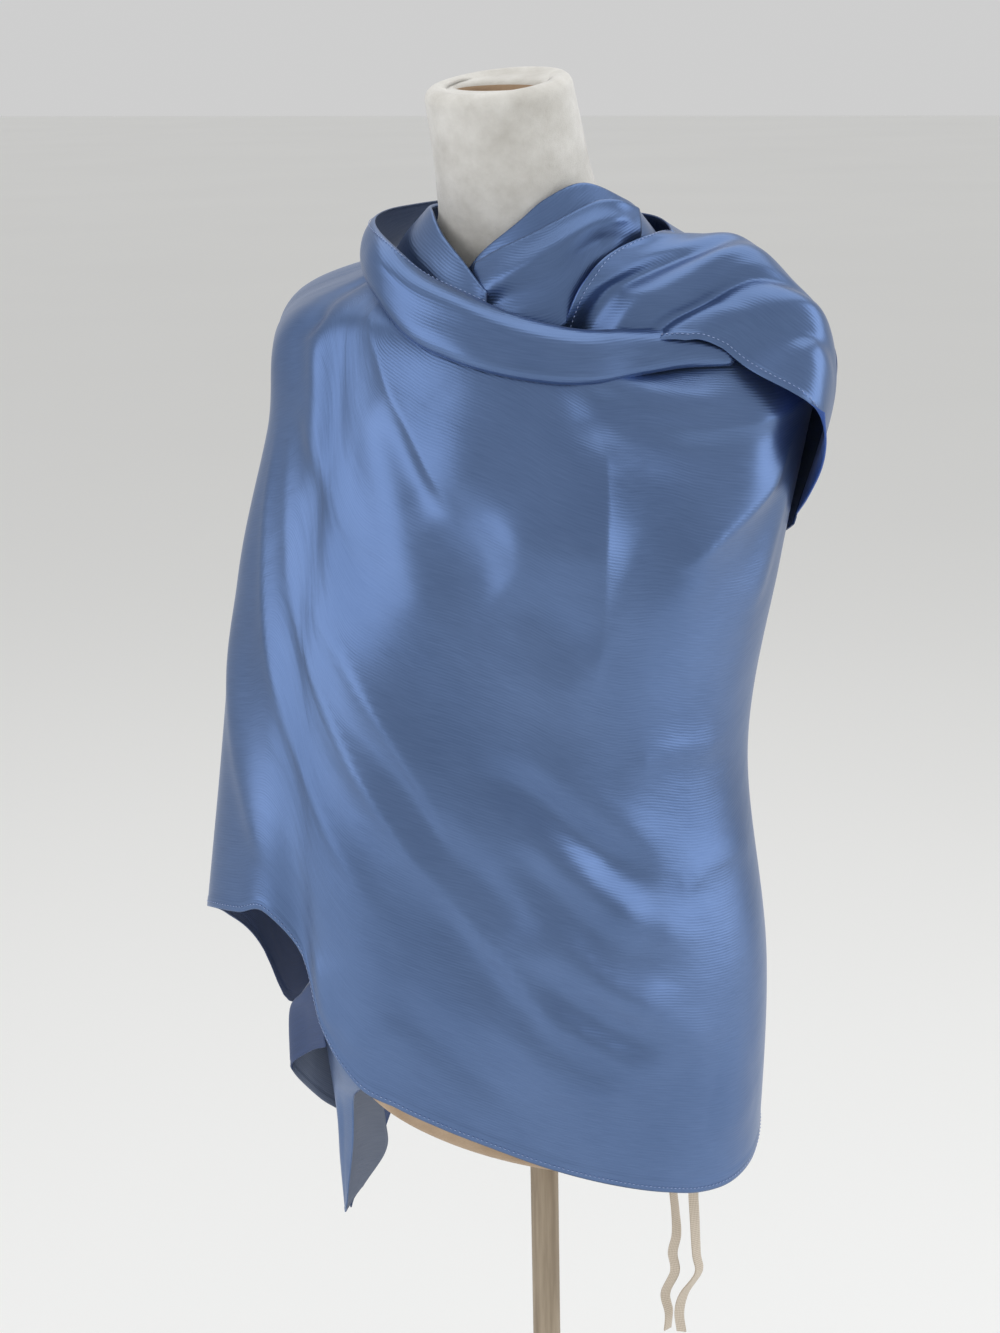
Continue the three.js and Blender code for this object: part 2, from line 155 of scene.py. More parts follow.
def mixed(tree, share, first, second):
    links = {"A": first, "B": second}
    return add_node(tree, "ShaderNodeMix", {"Factor": share}, links, data_type="FLOAT").outputs[0]


def bump(tree, strength, distance, height, below=None):
    links = {"Height": height} if below is None else {"Height": height, "Normal": below}
    return add_node(tree, "ShaderNodeBump", {"Strength": strength, "Distance": distance}, links).outputs["Normal"]


def worn(tree, roughness, less, more, factor):
    values = {"To Min": roughness - less, "To Max": roughness + more}
    return add_node(tree, "ShaderNodeMapRange", values, {"Value": factor}).outputs["Result"]


def surface(tree, values, links):
    shader = add_node(tree, "ShaderNodeBsdfPrincipled", values, links)
    add_node(tree, "ShaderNodeOutputMaterial", links={"Surface": shader.outputs["BSDF"]})


print("node helpers ready")

# %% [markdown]
# The stole is a polyester satin-faced weave with fine crosswise ribs, piece-dyed dusty blue.
# Its long floating threads throw light back almost like brushed metal.
# It is bright where a fold turns to a lamp and darker where it faces away.
# So the satin side is mostly metallic, with a soft sheen on top for the fibre ends.
# The same tree with other values gives the dull reverse, whose darker colour is painted shade; a brighter copy of the
# reverse, which is painted light on the flap's underside; and a pale grey single layer, whose paleness is painted light
# shining through one layer.
# The ribs sit about 1 mm apart on the cloth and are drawn 2.1 mm apart, because finer ones vanish in the picture.
# All patterns read the cloth's own map, in metres along and across the stole, so they follow each fold.

# %% The satin
RIB_PITCH = 0.0021
THREAD_STRETCH = (60.0, 900.0, 1.0)
CRUMPLE_STRETCH, CRUMPLE_TURN = (7.0, 16.0, 1.0), 0.7


def satin(name, deep, light, metallic, roughness, sheen):
    made, tree = new_material(name)
    cloth_map = on_cloth(tree)
    slow = noise(tree, cloth_map, 9.0, 3.0)
    threads = noise(tree, stretched(tree, cloth_map, THREAD_STRETCH), 1.0)
    ribs = bands(tree, cloth_map, RIB_PITCH, "Y", 0.6, 0.6)
    crumple = noise(tree, stretched(tree, cloth_map, CRUMPLE_STRETCH, CRUMPLE_TURN), 1.0, 4.0, 0.45)
    soft = bump(tree, 0.35, 0.006, crumple)
    fine = bump(tree, 0.12, 0.0004, ribs, soft)
    yarn = bump(tree, 0.12, 0.0003, threads, fine)
    colour = ramp_between(tree, mixed(tree, 0.35, slow, threads), deep, light, 0.3, 0.7)
    surface(tree,
            {"Metallic": metallic, "Sheen Weight": sheen, "Sheen Roughness": 0.35, "Sheen Tint": linear("#b9c8ea")},
            {"Base Color": colour, "Roughness": worn(tree, roughness, 0.04, 0.06, threads), "Normal": yarn})
    return made


stole_satin = satin("stole_ribbed_satin", "#586f97", "#6880aa", 0.86, 0.33, 0.12)
# Painted shade: the reverse is duller for real, but its darker colour stands for shade.
stole_reverse_painted_shade = satin("stole_dull_reverse_painted_shade", "#364668", "#465a85", 0.3, 0.55, 0.2)
# Painted light: this brighter copy of the reverse stands for light falling on the flap's underside.
stole_painted_lit_reverse = satin("stole_painted_lit_reverse", "#33549c", "#4468b2", 0.2, 0.5, 0.2)
# Painted light: the pale grey stands for light shining through a single layer.
stole_single_painted_light = satin("stole_one_layer_painted_through_light", "#5f6a80", "#7b8598", 0.1, 0.5, 0.2)
print("satin materials ready")

# %% [markdown]
# The form is a foam body under a knitted cover with a short pile, like velour jersey.
# Pile scatters light softly, so it is rough with a pale sheen, and small cloudy patches show where it was brushed.
# The neck opening and the underside show a tan lining cloth.

# %% The form's covers, the stand and the tape
WEFT_PITCH, WARP_PITCH = 0.0016, 0.0012


def pile(name, deep, light, sheen, grain):
    made, tree = new_material(name)
    place = on_object(tree)
    cloud = noise(tree, place, 22.0, 5.0, 0.6)
    fibre = noise(tree, place, grain, 3.0, 0.7)
    brushed = bump(tree, 0.5, 0.003, cloud, bump(tree, 0.5, 0.0008, fibre))
    surface(tree, {"Roughness": 0.95, "Sheen Weight": sheen, "Sheen Roughness": 0.5, "Specular IOR Level": 0.2},
            {"Base Color": ramp_between(tree, cloud, deep, light, 0.3, 0.72), "Normal": brushed})
    return made


def painted_steel(name, deep, light, metallic, roughness):
    made, tree = new_material(name)
    place = on_object(tree)
    grain = noise(tree, stretched(tree, place, (180.0, 180.0, 12.0)), 1.0, 3.0)
    speck = noise(tree, place, 700.0)
    surface(tree, {"Metallic": metallic},
            {"Base Color": ramp_between(tree, grain, deep, light, 0.35, 0.65),
             "Roughness": worn(tree, roughness, 0.06, 0.08, grain), "Normal": bump(tree, 0.15, 0.0002, speck)})
    return made


def woven_tape(name, deep, light):
    made, tree = new_material(name)
    cloth_map = on_cloth(tree)
    weft = bands(tree, cloth_map, WEFT_PITCH, "Y", 0.8)
    warp = bands(tree, cloth_map, WARP_PITCH, "X", 0.4)
    weave = mixed(tree, 0.5, weft, warp)
    surface(tree, {"Roughness": 0.9, "Sheen Weight": 0.2},
            {"Base Color": ramp_between(tree, weave, deep, light, 0.2, 0.8), "Normal": bump(tree, 0.5, 0.0003, weave)})
    return made


def twisted_thread(name, deep, light):
    made, tree = new_material(name)
    twist = noise(tree, on_object(tree), 900.0)
    surface(tree, {"Roughness": 0.5, "Sheen Weight": 0.3},
            {"Base Color": ramp_between(tree, twist, deep, light, 0.3, 0.7)})
    return made


form_velour = pile("form_velour_jersey", "#c2beb5", "#efede7", 0.5, 1100.0)
form_lining = pile("form_tan_lining", "#a58b70", "#bfa78c", 0.15, 1800.0)
stand_steel = painted_steel("stand_powder_coated_steel", "#8f806c", "#ab9c87", 0.3, 0.5)
base_steel = painted_steel("base_brushed_steel", "#a39b8f", "#bbb4a8", 0.55, 0.42)
cotton_tape = woven_tape("cotton_tape", "#bfb09c", "#e3d8c8")
stitch_thread = twisted_thread("stitch_thread", "#7f97c9", "#a9bbe2")
print("form, stand and tape materials ready")

# %% [markdown]
# Every smooth shape here runs through the rows of a short table.
# Between two rows it follows a cubic curve whose slope is the blend of the slopes on both sides, as in the CAD model.
# It works on whole arrays at once, because a fine cloth has tens of thousands of points.
# The values may be one number for each row, or one whole array for each row.

# %% Smooth tables


def ease(t):
    return t * t * (3 - 2 * t)


def smooth_through(stations, values, x):
    stations, values, x = [np.asarray(part, float) for part in (stations, values, x)]
    widths = np.diff(stations)
    wide = widths.reshape((-1,) + (1,) * (values.ndim - 1))
    slopes = np.diff(values, axis=0) / wide
    between = (slopes[:-1] * wide[1:] + slopes[1:] * wide[:-1]) / (wide[:-1] + wide[1:])
    tangents = np.concatenate([slopes[:1], between, slopes[-1:]])
    i = np.clip(np.searchsorted(stations, x, side="left") - 1, 0, len(stations) - 2)
    width = widths[i]
    t = (x - stations[i]) / width
    rise = ease(t)

    def pick(table, k):
        return table[k] if table.ndim == 1 else np.take_along_axis(table, k[None], 0)[0]

    bend = (1 - t) * pick(tangents, i) - t * pick(tangents, i + 1)
    inside = pick(values, i) * (1 - rise) + pick(values, i + 1) * rise + width * t * (1 - t) * bend
    low = values[0] + slopes[0] * (x - stations[0])
    high = values[-1] + slopes[-1] * (x - stations[-1])
    return np.where(x <= stations[0], low, np.where(x >= stations[-1], high, inside))


def spread(*parts):
    return np.broadcast_arrays(*[np.asarray(part, float) for part in parts])


def column(rows, k):
    return [row[k] for row in rows]


def polar(angle, radius, height):
    a = np.radians(angle)
    return np.stack([radius * np.sin(a), -radius * np.cos(a), FORM_BASE + height], -1)


print("halfway between two rows:", round(float(smooth_through([0, 1, 2], [0, 1, 4], 0.5)), 3))

# %% [markdown]
# The dress form is a stack of oval rings from the underside, over the hips, waist and bust, to the neck.
# Heights are above the level of the hips, 780 mm over the floor.
# The shoulders lie further back than the chest, so each ring may bend its sides back, and the neck leans forward.

# %% The form's rings
# height, half width, half depth, centre y, shoulder back
FORM_RINGS = [
    (-12, 159, 97, 6, 0),
    (-6, 165, 104, 6, 0),
    (4, 167, 107, 6, 0),
    (22, 169, 110, 6, 0),
    (60, 170, 112, 6, 0),
    (120, 168, 112, 5, 0),
    (200, 146, 100, 2, 0),
    (270, 121, 88, 0, 0),
    (335, 128, 93, -3, 0),
    (400, 142, 107, -7, 0),
    (450, 150, 114, -9, 0),
    (500, 162, 106, -5, 4),
    (545, 178, 80, 0, 12),
    (575, 187, 58, 0, 18),
    (592, 184, 51, 0, 20),
    (608, 170, 49, 0, 20),
    (622, 144, 50, -2, 17),
    (636, 106, 53, -4, 11),
    (648, 76, 54, -6, 5),
    (664, 60, 54, -10, 0),
    (690, 53, 53, -19, 0),
    (725, 50, 51, -30, 0),
    (749, 49, 49, -38, 0),
]
NECK_START, NECK_END, NECK_TILT = 640, 755, math.radians(10.6)
FORM_UNDERSIDE = -12
REACH_ROOM, REACH_HALVINGS = 1.2, 22


def form_row(height):
    levels = column(FORM_RINGS, 0)
    return [smooth_through(levels, column(FORM_RINGS, k), height) for k in range(1, 5)]


def form_point(angle, height):
    half_width, half_depth, centre_y, back = form_row(height)
    a = np.radians(angle)
    depth = -half_depth * np.cos(a) + back * np.sin(a) ** 2
    tilt = NECK_TILT * np.clip((height - NECK_START) / (NECK_END - NECK_START), 0, 1)
    return np.stack([half_width * np.sin(a), centre_y + depth * np.cos(tilt),
                     FORM_BASE + height + depth * np.sin(tilt)], -1)


def form_reach(angle, height):
    """The form's distance from the pole in one direction, found by halving a range of ring angles."""
    angle, height = spread(angle, height)
    half_width, half_depth, centre_y, back = form_row(np.clip(height, FORM_UNDERSIDE, NECK_END))
    direction = np.radians((angle + 180) % 360 - 180)
    low, high = direction - REACH_ROOM, direction + REACH_ROOM
    for _ in range(REACH_HALVINGS):
        t = (low + high) / 2
        x = half_width * np.sin(t)
        y = centre_y - half_depth * np.cos(t) + back * np.sin(t) ** 2
        past = -x * np.cos(direction) - y * np.sin(direction) < 0
        high = np.where(past, t, high)
        low = np.where(past, low, t)
    return np.hypot(x, y)


print("form reach at the bust:", round(float(form_reach(0, 450)), 1), "mm")

# %% [markdown]
# A fold is a crest that runs along a curve drawn on the cloth, from left to right.
# Its two sides differ: cloth hangs steep below a crest and eases out above it, so each side has a reach of its own.
# A round fold falls off like a bell; a pressed crease has a sharp top, where the light draws a thin line.
# The height fades to nothing at both ends of the curve.

# %% Folds along curves
MEAN_RADIUS = 150
ROUND, CRISP = 2.0, 1.06
PATH_STEPS, PATH_FADE = 40, 0.3
FAR = 1e9


def fold_relief(folds, angle, height):
    arc = math.radians(MEAN_RADIUS)
    x, y = np.asarray(angle) * arc, np.asarray(height)
    steps = np.linspace(0, 1, PATH_STEPS + 1)
    relief = np.zeros(np.shape(x))
    for rise, below, above, top, path in folds:
        stations = np.linspace(0, 1, len(path))
        path_x = smooth_through(stations, column(path, 0), steps) * arc
        path_y = smooth_through(stations, column(path, 1), steps)
        best, side, along = np.full(np.shape(x), FAR), np.zeros(np.shape(x)), np.zeros(np.shape(x))
        for k in range(PATH_STEPS):
            dx, dy = path_x[k + 1] - path_x[k], path_y[k + 1] - path_y[k]
            t = np.clip(((x - path_x[k]) * dx + (y - path_y[k]) * dy) / (dx * dx + dy * dy), 0, 1)
            gap_x, gap_y = x - path_x[k] - t * dx, y - path_y[k] - t * dy
            gap = np.hypot(gap_x, gap_y)
            near = gap < best
            best = np.where(near, gap, best)
            side = np.where(near, dx * gap_y - dy * gap_x, side)
            along = np.where(near, (k + t) / PATH_STEPS, along)
        reach = np.where(side > 0, above, below)
        fade = ease(np.clip(np.minimum(along, 1 - along) / PATH_FADE, 0, 1))
        relief += rise * fade * np.exp(-(best / reach) ** top)
    return relief


print("fold helper ready")

# %% [markdown]
# The wrap is one spiral of cloth: it starts behind the wearer's left shoulder and crosses the back.
# It goes on round the right side, the front and the left side, and ends as the inner layer at the back.
# Each row of the table is one direction round the pole, with the hem's height and the cloth's distance at seven levels.
# The cloth never comes nearer to the form than its own thickness and a little air.

# %% The wrap's table
# angle, hem, low, hip, waist, bust, chest, shoulder radius, shoulder height, top radius, top height
WRAP_LEVELS = [-60, 130, 290, 430, 525]
WRAP_ROWS = [
    (-250, 455, 150, 160, 165, 178, 204, 200, 592, 97, 656),
    (-230, 430, 150, 158, 160, 176, 182, 164, 610, 92, 662),
    (-210, 392, 148, 156, 154, 162, 160, 132, 616, 88, 664),
    (-180, 312, 140, 144, 138, 130, 128, 108, 614, 86, 662),
    (-150, 218, 158, 164, 160, 152, 142, 126, 612, 92, 655),
    (-120, 122, 205, 207, 202, 190, 178, 164, 610, 98, 648),
    (-100, 52, 220, 218, 214, 207, 200, 192, 607, 102, 644),
    (-88, 28, 222, 222, 219, 211, 204, 196, 605, 103, 643),
    (-80, 44, 221, 224, 221, 208, 197, 188, 602, 104, 641),
    (-74, 95, 222, 228, 224, 207, 191, 181, 600, 105, 638),
    (-62, 148, 250, 242, 228, 206, 186, 174, 599, 107, 635),
    (-52, 173, 276, 255, 230, 206, 184, 170, 598, 108, 633),
    (-42, 184, 262, 236, 212, 191, 172, 156, 600, 112, 629),
    (-36, 190, 236, 219, 199, 182, 164, 148, 600, 114, 625),
    (-31, 160, 200, 195, 187, 175, 157, 140, 599, 114, 622),
    (-26, 103, 181, 189, 180, 171, 153, 134, 597, 114, 619),
    (-20, 71, 172, 180, 172, 164, 147, 130, 593, 114, 616),
    (-10, 53, 155, 165, 160, 155, 140, 128, 586, 114, 612),
    (0, 41, 144, 154, 151, 147, 136, 127, 582, 113, 608),
    (15, 28, 138, 146, 143, 141, 133, 126, 577, 112, 604),
    (35, 11, 140, 147, 142, 146, 137, 126, 572, 112, 598),
    (50, -3, 143, 151, 141, 152, 144, 127, 564, 116, 588),
    (65, -16, 152, 158, 143, 156, 156, 143, 552, 122, 580),
    (75, -24, 159, 164, 145, 161, 170, 164, 549, 134, 590),
    (85, -27, 166, 170, 148, 167, 184, 188, 552, 160, 602),
    (95, -24, 169, 174, 151, 172, 190, 197, 560, 178, 606),
    (113, -8, 165, 169, 154, 174, 190, 193, 560, 178, 600),
    (130, -14, 150, 158, 147, 163, 170, 168, 555, 150, 590),
    (150, -22, 134, 144, 134, 145, 142, 132, 550, 118, 580),
    (180, -30, 124, 130, 120, 116, 114, 106, 530, 98, 560),
    (210, -40, 132, 136, 130, 132, 122, 120, 500, 118, 520),
    (240, -55, 160, 166, 152, 160, 160, 158, 450, 154, 470),
    (256, -80, 176, 182, 170, 174, 178, 174, 420, 170, 440),
    (263, -108, 176, 183, 174, 180, 184, 178, 410, 174, 430),
    (272, -122, 174, 182, 176, 184, 188, 180, 405, 176, 425),
    (285, -137, 170, 178, 176, 186, 190, 180, 400, 176, 420),
]
CLOTH_WALL, FORM_CLEARANCE = 1.3, 2.1

# %% [markdown]
# The broad folds are those of the CAD model; the narrow ones below them give the crisp lines that catch the light.
# They start under the neckline on the wearer's right, sweep down across the front and die out at the left hip.

# %% The wrap's folds
# rise, reach below the path, reach above it, shape of the top, path of (angle, height)
WRAP_FOLDS = [
    (5, 26, 26, ROUND, [(-52, 560), (-44, 330), (-27, 130)]),
    (5, 24, 24, ROUND, [(-42, 480), (-30, 300), (-4, 110)]),
    (4, 22, 22, ROUND, [(-22, 600), (-6, 470), (6, 400)]),
    (6, 26, 26, ROUND, [(-22, 400), (-8, 290), (8, 200)]),
    (-6, 22, 22, ROUND, [(-6, 330), (6, 220), (34, 90)]),
    (5, 20, 20, ROUND, [(22, 290), (40, 225), (62, 190)]),
    (5, 18, 18, ROUND, [(20, 205), (42, 160), (72, 130)]),
    (5, 18, 18, ROUND, [(12, 165), (34, 90), (66, 62)]),
    (5, 22, 22, ROUND, [(58, 400), (76, 470), (92, 530)]),
    # From under the collar on the right side
    (6.0, 13, 26, CRISP, [(-34, 632), (-22, 600), (-9, 555), (2, 515), (11, 478)]),
    (-3.0, 14, 14, ROUND, [(-16, 560), (-6, 520), (4, 480)]),
    (-7.0, 9, 9, ROUND, [(-52, 636), (-46, 614), (-40, 592)]),
    (4.0, 10, 10, ROUND, [(-39, 612), (-36, 580), (-33, 540), (-32, 480)]),
    (2.5, 10, 16, ROUND, [(-44, 570), (-29, 509), (-14, 446)]),
    # The long pressed folds that cross the front from the right arm down to the left hip
    (4.8, 9, 16, CRISP, [(-49, 560), (-44, 470), (-34, 350), (-20, 250), (-4, 172)]),
    (6.2, 9, 20, CRISP, [(-47, 585), (-36, 450), (-20, 334), (-4, 258), (14, 190), (38, 124), (60, 84)]),
    (6.5, 12, 22, CRISP, [(-31, 430), (-20, 392), (-6, 331), (4, 272), (14, 236)]),
    (-5.0, 13, 13, ROUND, [(-26, 385), (-9, 314), (10, 245), (36, 180)]),
    (3.0, 8, 14, ROUND, [(-55, 420), (-44, 300), (-30, 196)]),
    # Bust: a slack ridge and the hollow below it
    (7.0, 26, 30, ROUND, [(-2, 556), (10, 522), (24, 492), (42, 468), (54, 452)]),
    (-5.0, 22, 22, ROUND, [(20, 440), (34, 412), (46, 392)]),
    (4.5, 42, 12, CRISP, [(48.5, 556), (48.2, 520), (47.1, 473), (46.1, 407), (43, 345)]),
    (3.0, 16, 16, ROUND, [(22, 500), (26, 460), (27, 425), (25, 385)]),
    (6.0, 12, 12, ROUND, [(38, 584), (50, 576), (62, 566), (74, 560), (86, 572)]),
    (-8.0, 15, 17, ROUND, [(34, 560), (49, 546), (60, 534), (72, 526), (84, 540)]),
    # From the left arm inwards
    (5.5, 9, 16, CRISP, [(62, 446), (72, 462), (85, 492), (97, 532)]),
    (2.5, 10, 14, ROUND, [(92, 400), (95, 453), (98, 510)]),
    # Belly: short folds that fan out to the left hip
    (4.0, 14, 20, ROUND, [(24, 342), (39, 298), (50, 273), (72, 225)]),
    (-5.5, 13, 13, ROUND, [(10, 318), (28, 296), (45, 258), (68, 214)]),
    (4.0, 14, 18, ROUND, [(28, 268), (50, 213), (80, 166)]),
    (-5.0, 13, 13, ROUND, [(20, 262), (36, 226), (52, 180)]),
    (4.0, 12, 18, CRISP, [(22, 226), (38, 186), (60, 124), (84, 88)]),
    (-5.0, 12, 12, ROUND, [(22, 192), (42, 140), (66, 92)]),
    (4.0, 10, 16, ROUND, [(26, 146), (44, 114), (68, 76)]),
    (2.4, 6, 10, CRISP, [(50, 306), (69, 316), (94, 308)]),
    (2.4, 6, 10, CRISP, [(66, 214), (83, 229), (106, 224)]),
    (-3.0, 14, 14, ROUND, [(-12, 150), (4, 104), (24, 62)]),
    (3.0, 8, 14, CRISP, [(-27, 176), (-25, 130), (-22, 104)]),
    (2.5, 8, 14, ROUND, [(-24, 96), (-14, 108), (-4, 122)]),
    # Back: the long slants from the left shoulder to the right hip
    (4.0, 26, 26, ROUND, [(-205, 600), (-175, 470), (-140, 330), (-112, 180)]),
    (-4.0, 20, 20, ROUND, [(-218, 560), (-190, 430), (-158, 300), (-130, 180)]),
    (4.0, 16, 26, CRISP, [(-232, 560), (-212, 480), (-188, 370), (-160, 270)]),
    (3.5, 14, 24, CRISP, [(-190, 610), (-160, 520), (-132, 420), (-108, 300)]),
    (3.0, 20, 20, ROUND, [(-110, 580), (-100, 400), (-92, 80)]),
    (-3.0, 18, 18, ROUND, [(-90, 560), (-82, 380), (-78, 110)]),
    (2.5, 14, 18, ROUND, [(-140, 600), (-128, 480), (-118, 340), (-110, 200)]),
]


WRAP_STATIONS = np.arange(7)
WRAP_TOP = 6
HEM_SEARCH, HEM_HALVINGS = (-1.0, 5.0), 26


def wrap_column(k, angle):
    return smooth_through(column(WRAP_ROWS, 0), column(WRAP_ROWS, k), angle)


def wrap_height(angle, s):
    angle, s = spread(angle, s)
    levels = [np.full(angle.shape, float(level)) for level in WRAP_LEVELS]
    return smooth_through(WRAP_STATIONS, levels + [wrap_column(k, angle) for k in (8, 10)], s)


def wrap_point(angle, s):
    angle, s = spread(angle, s)
    height = wrap_height(angle, s)
    radius = smooth_through(WRAP_STATIONS, [wrap_column(k, angle) for k in (2, 3, 4, 5, 6, 7, 9)], s)
    radius = radius + fold_relief(WRAP_FOLDS, angle, height)
    return np.maximum(radius, form_reach(angle, height) + CLOTH_WALL + FORM_CLEARANCE), height


def hem_station(angle):
    hem = wrap_column(1, angle)
    low, high = [np.full(np.shape(angle), end) for end in HEM_SEARCH]
    for _ in range(HEM_HALVINGS):
        middle = (low + high) / 2
        under = wrap_height(angle, middle) < hem
        low, high = np.where(under, middle, low), np.where(under, high, middle)
    return low


def wrap_place(start, end):
    def place(u, v):
        angle = start + (end - start) * u
        station = hem_station(angle)
        radius, height = wrap_point(angle, station + (WRAP_TOP - station) * v)
        return polar(angle, radius, height)
    return place


print("wrap radius at the front:", np.round(wrap_point(0, 2.0)[0], 1), "mm")

# %% [markdown]
# A cloth starts as a flat grid from the grid operator, whose rows and columns are then laid along the shape.
# Near a hem the rows stand closer, so that the doubled edge is a real step in the cloth: 5 mm wide and 0.3 mm proud.
# The map named cloth keeps each point's distance along and across the piece in metres.
# The Solidify modifier gives the sheet its thickness inwards, and its inner face can carry a second material, such as
# the dull reverse with its painted shade.

# %% The cloth builder
HEM_WIDTH, HEM_RISE = 5.0, 0.3
HEM_STOPS = [0.0, 0.7, 2.4, 4.3, 5.0, 5.8, 8.0]
SHEET_THICKNESS = 0.0011
COARSE_STOPS, SHORTEST_LINE = 33, 30


def unit(vectors):
    return vectors / np.maximum(np.linalg.norm(vectors, axis=-1, keepdims=True), 1e-9)


def travelled(points):
    steps = np.linalg.norm(np.diff(points, axis=0), axis=-1)
    return np.concatenate([[0], np.cumsum(steps)])


def surface_normal(place, u, v, step):
    across = place(np.clip(u + step, 0, 1), v) - place(np.clip(u - step, 0, 1), v)
    along = place(u, np.clip(v + step, 0, 1)) - place(u, np.clip(v - step, 0, 1))
    return unit(np.cross(across, along))


def hem_rise(distance):
    start = np.clip(distance / 0.9, 0, 1)
    end = np.clip((HEM_WIDTH + 0.7 - distance) / 0.8, 0, 1)
    return HEM_RISE * np.sqrt(start) * end * end * (3 - 2 * end)


def row_stops(lengths, count, hem_low, hem_high):
    low = np.array(HEM_STOPS if hem_low else [0.0])
    high = np.array(HEM_STOPS if hem_high else [0.0])
    rows = []
    for length in lengths:
        first, last = low[-1] / length, 1 - high[-1] / length
        middle = np.linspace(first, last, count + 1)[1:-1]
        rows.append(np.concatenate([low / length, middle, 1 - high[::-1] / length]))
    return np.array(rows)


def lay_cloth(place, columns, rows, hem_low, hem_high, crowd):
    u = np.linspace(0, 1, columns + 1)
    if crowd:
        u = np.interp(u, column(crowd, 0), column(crowd, 1))
    coarse = place(u[:, None], np.linspace(0, 1, COARSE_STOPS)[None, :])
    lengths = np.linalg.norm(np.diff(coarse, axis=1), axis=-1).sum(1)
    v = row_stops(np.maximum(lengths, SHORTEST_LINE), rows, hem_low, hem_high)
    points = place(np.broadcast_to(u[:, None], v.shape), v)
    normals = unit(np.cross(np.gradient(points, axis=0), np.gradient(points, axis=1)))
    distance = v * lengths[:, None]
    rise = np.zeros(v.shape)
    if hem_low:
        rise += hem_rise(distance)
    if hem_high:
        rise += hem_rise(lengths[:, None] - distance)
    points = points + normals * rise[..., None]
    step_u = np.linalg.norm(np.diff(points, axis=0), axis=-1).mean(1)
    map_u = np.concatenate([[0], np.cumsum(step_u)])
    step_v = np.linalg.norm(np.diff(points, axis=1), axis=-1)
    map_v = np.concatenate([np.zeros((columns + 1, 1)), np.cumsum(step_v, axis=1)], 1)
    return points, map_u, map_v


def finish_piece(name, bm, materials):
    mesh = bpy.data.meshes.new(name)
    bm.to_mesh(mesh)
    bm.free()
    mesh.polygons.foreach_set("use_smooth", [True] * len(mesh.polygons))
    for made in materials:
        mesh.materials.append(made)
    piece = bpy.data.objects.new(name, mesh)
    bpy.context.scene.collection.objects.link(piece)
    return piece


def add_cloth(name, place, columns, rows, materials, hem_low=False, hem_high=False, crowd=None, second=None):
    points, map_u, map_v = lay_cloth(place, columns, rows, hem_low, hem_high, crowd)
    count = points.shape[1]
    bm = bmesh.new()
    bmesh.ops.create_grid(bm, x_segments=columns, y_segments=count - 1, size=0.5)
    cells = {}
    for vert in bm.verts:
        i, j = round((vert.co.x + 0.5) * columns), round((vert.co.y + 0.5) * (count - 1))
        cells[vert.index] = (i, j)
        vert.co = points[i, j] * MM
    layer = bm.loops.layers.uv.new("cloth")
    for face in bm.faces:
        for loop in face.loops:
            i, j = cells[loop.vert.index]
            loop[layer].uv = (map_u[i] * MM, map_v[i, j] * MM)
        middle = sum(cells[vert.index][0] for vert in face.verts) / len(face.verts) / columns
        face.material_index = int(second is not None and middle > second)
    piece = finish_piece(name, bm, materials)
    solid = piece.modifiers.new("thickness", "SOLIDIFY")
    solid.thickness = SHEET_THICKNESS
    solid.offset = -1
    solid.use_even_offset = False
    if len(materials) > 1 and second is None:
        solid.material_offset = 1
        solid.material_offset_rim = 1
    widths = (float(map_u[-1]) * MM, float(map_v[:, -1].mean()) * MM)
    print(name, len(piece.data.polygons), "faces,", round(widths[0], 3), "by", round(widths[1], 3), "m")
    return piece, widths


# %% [markdown]
# A row of topstitching is many short thread stitches that sit in the cloth, one after another.
# Each is a small stretched sphere with a few faces, laid along the hem at its own distance from the edge.

# %% The stitch builder
STITCH_PITCH, STITCH_LENGTH, STITCH_WIDTH = 3.4, 2.1, 0.55
STITCH_INSET, STITCH_LIFT = 4.2, 0.7
TRACK_STOPS, TRACK_STEP = 241, 0.002


def hem_track(place, side, start, end, flip=1):
    u = np.linspace(start, end, TRACK_STOPS)
    edge = np.full(u.shape, float(side))
    inner = np.full(u.shape, 0.5 + (side - 0.5) * 0.96)
    reach = np.linalg.norm(place(u, edge) - place(u, inner), axis=-1)
    v = side + (inner - edge) * STITCH_INSET / reach
    normals = surface_normal(place, u, v, TRACK_STEP) * flip
    return place(u, v) + normals * STITCH_LIFT, normals


def add_stitches(name, tracks):
    bm = bmesh.new()
    total = 0
    size = Matrix.Diagonal((STITCH_LENGTH / 2 * MM, STITCH_WIDTH / 2 * MM, STITCH_WIDTH / 2 * MM, 1))
    for points, normals in tracks:
        travel = travelled(points)

        def sample(table, where):
            return np.array([np.interp(where, travel, table[:, k]) for k in range(3)])

        for where in np.arange(STITCH_PITCH, travel[-1] - STITCH_PITCH, STITCH_PITCH):
            spot = sample(points, where)
            ahead = Vector(sample(points, where + 1) - spot).normalized()
            side = Vector(sample(normals, where)).cross(ahead).normalized()
            turn = Matrix((ahead, side, ahead.cross(side))).transposed().to_4x4()
            at = Matrix.Translation(Vector(spot) * MM)
            bmesh.ops.create_icosphere(bm, subdivisions=1, radius=1.0, matrix=at @ turn @ size)
            total += 1
    print(name, total, "stitches")
    return finish_piece(name, bm, [stitch_thread])


def wear(piece, with_pieces=()):
    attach(piece, "root")
    for extra in with_pieces:
        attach(extra, "root")


# %% [markdown]
# The outer turn of the wrap is one sheet, from behind the left shoulder over the back and the front to the left side.
# Its columns stand closer on the front, where the folds are narrow.
# The inner turn goes on under it; seen from the left side, the join is a thin upright line.
# Only the lower edge is a hem; the upper edge goes under the collar and the neck folds.

# %% The wrap
WRAP_START, WRAP_JOIN, WRAP_END = -250, 118, 283.6
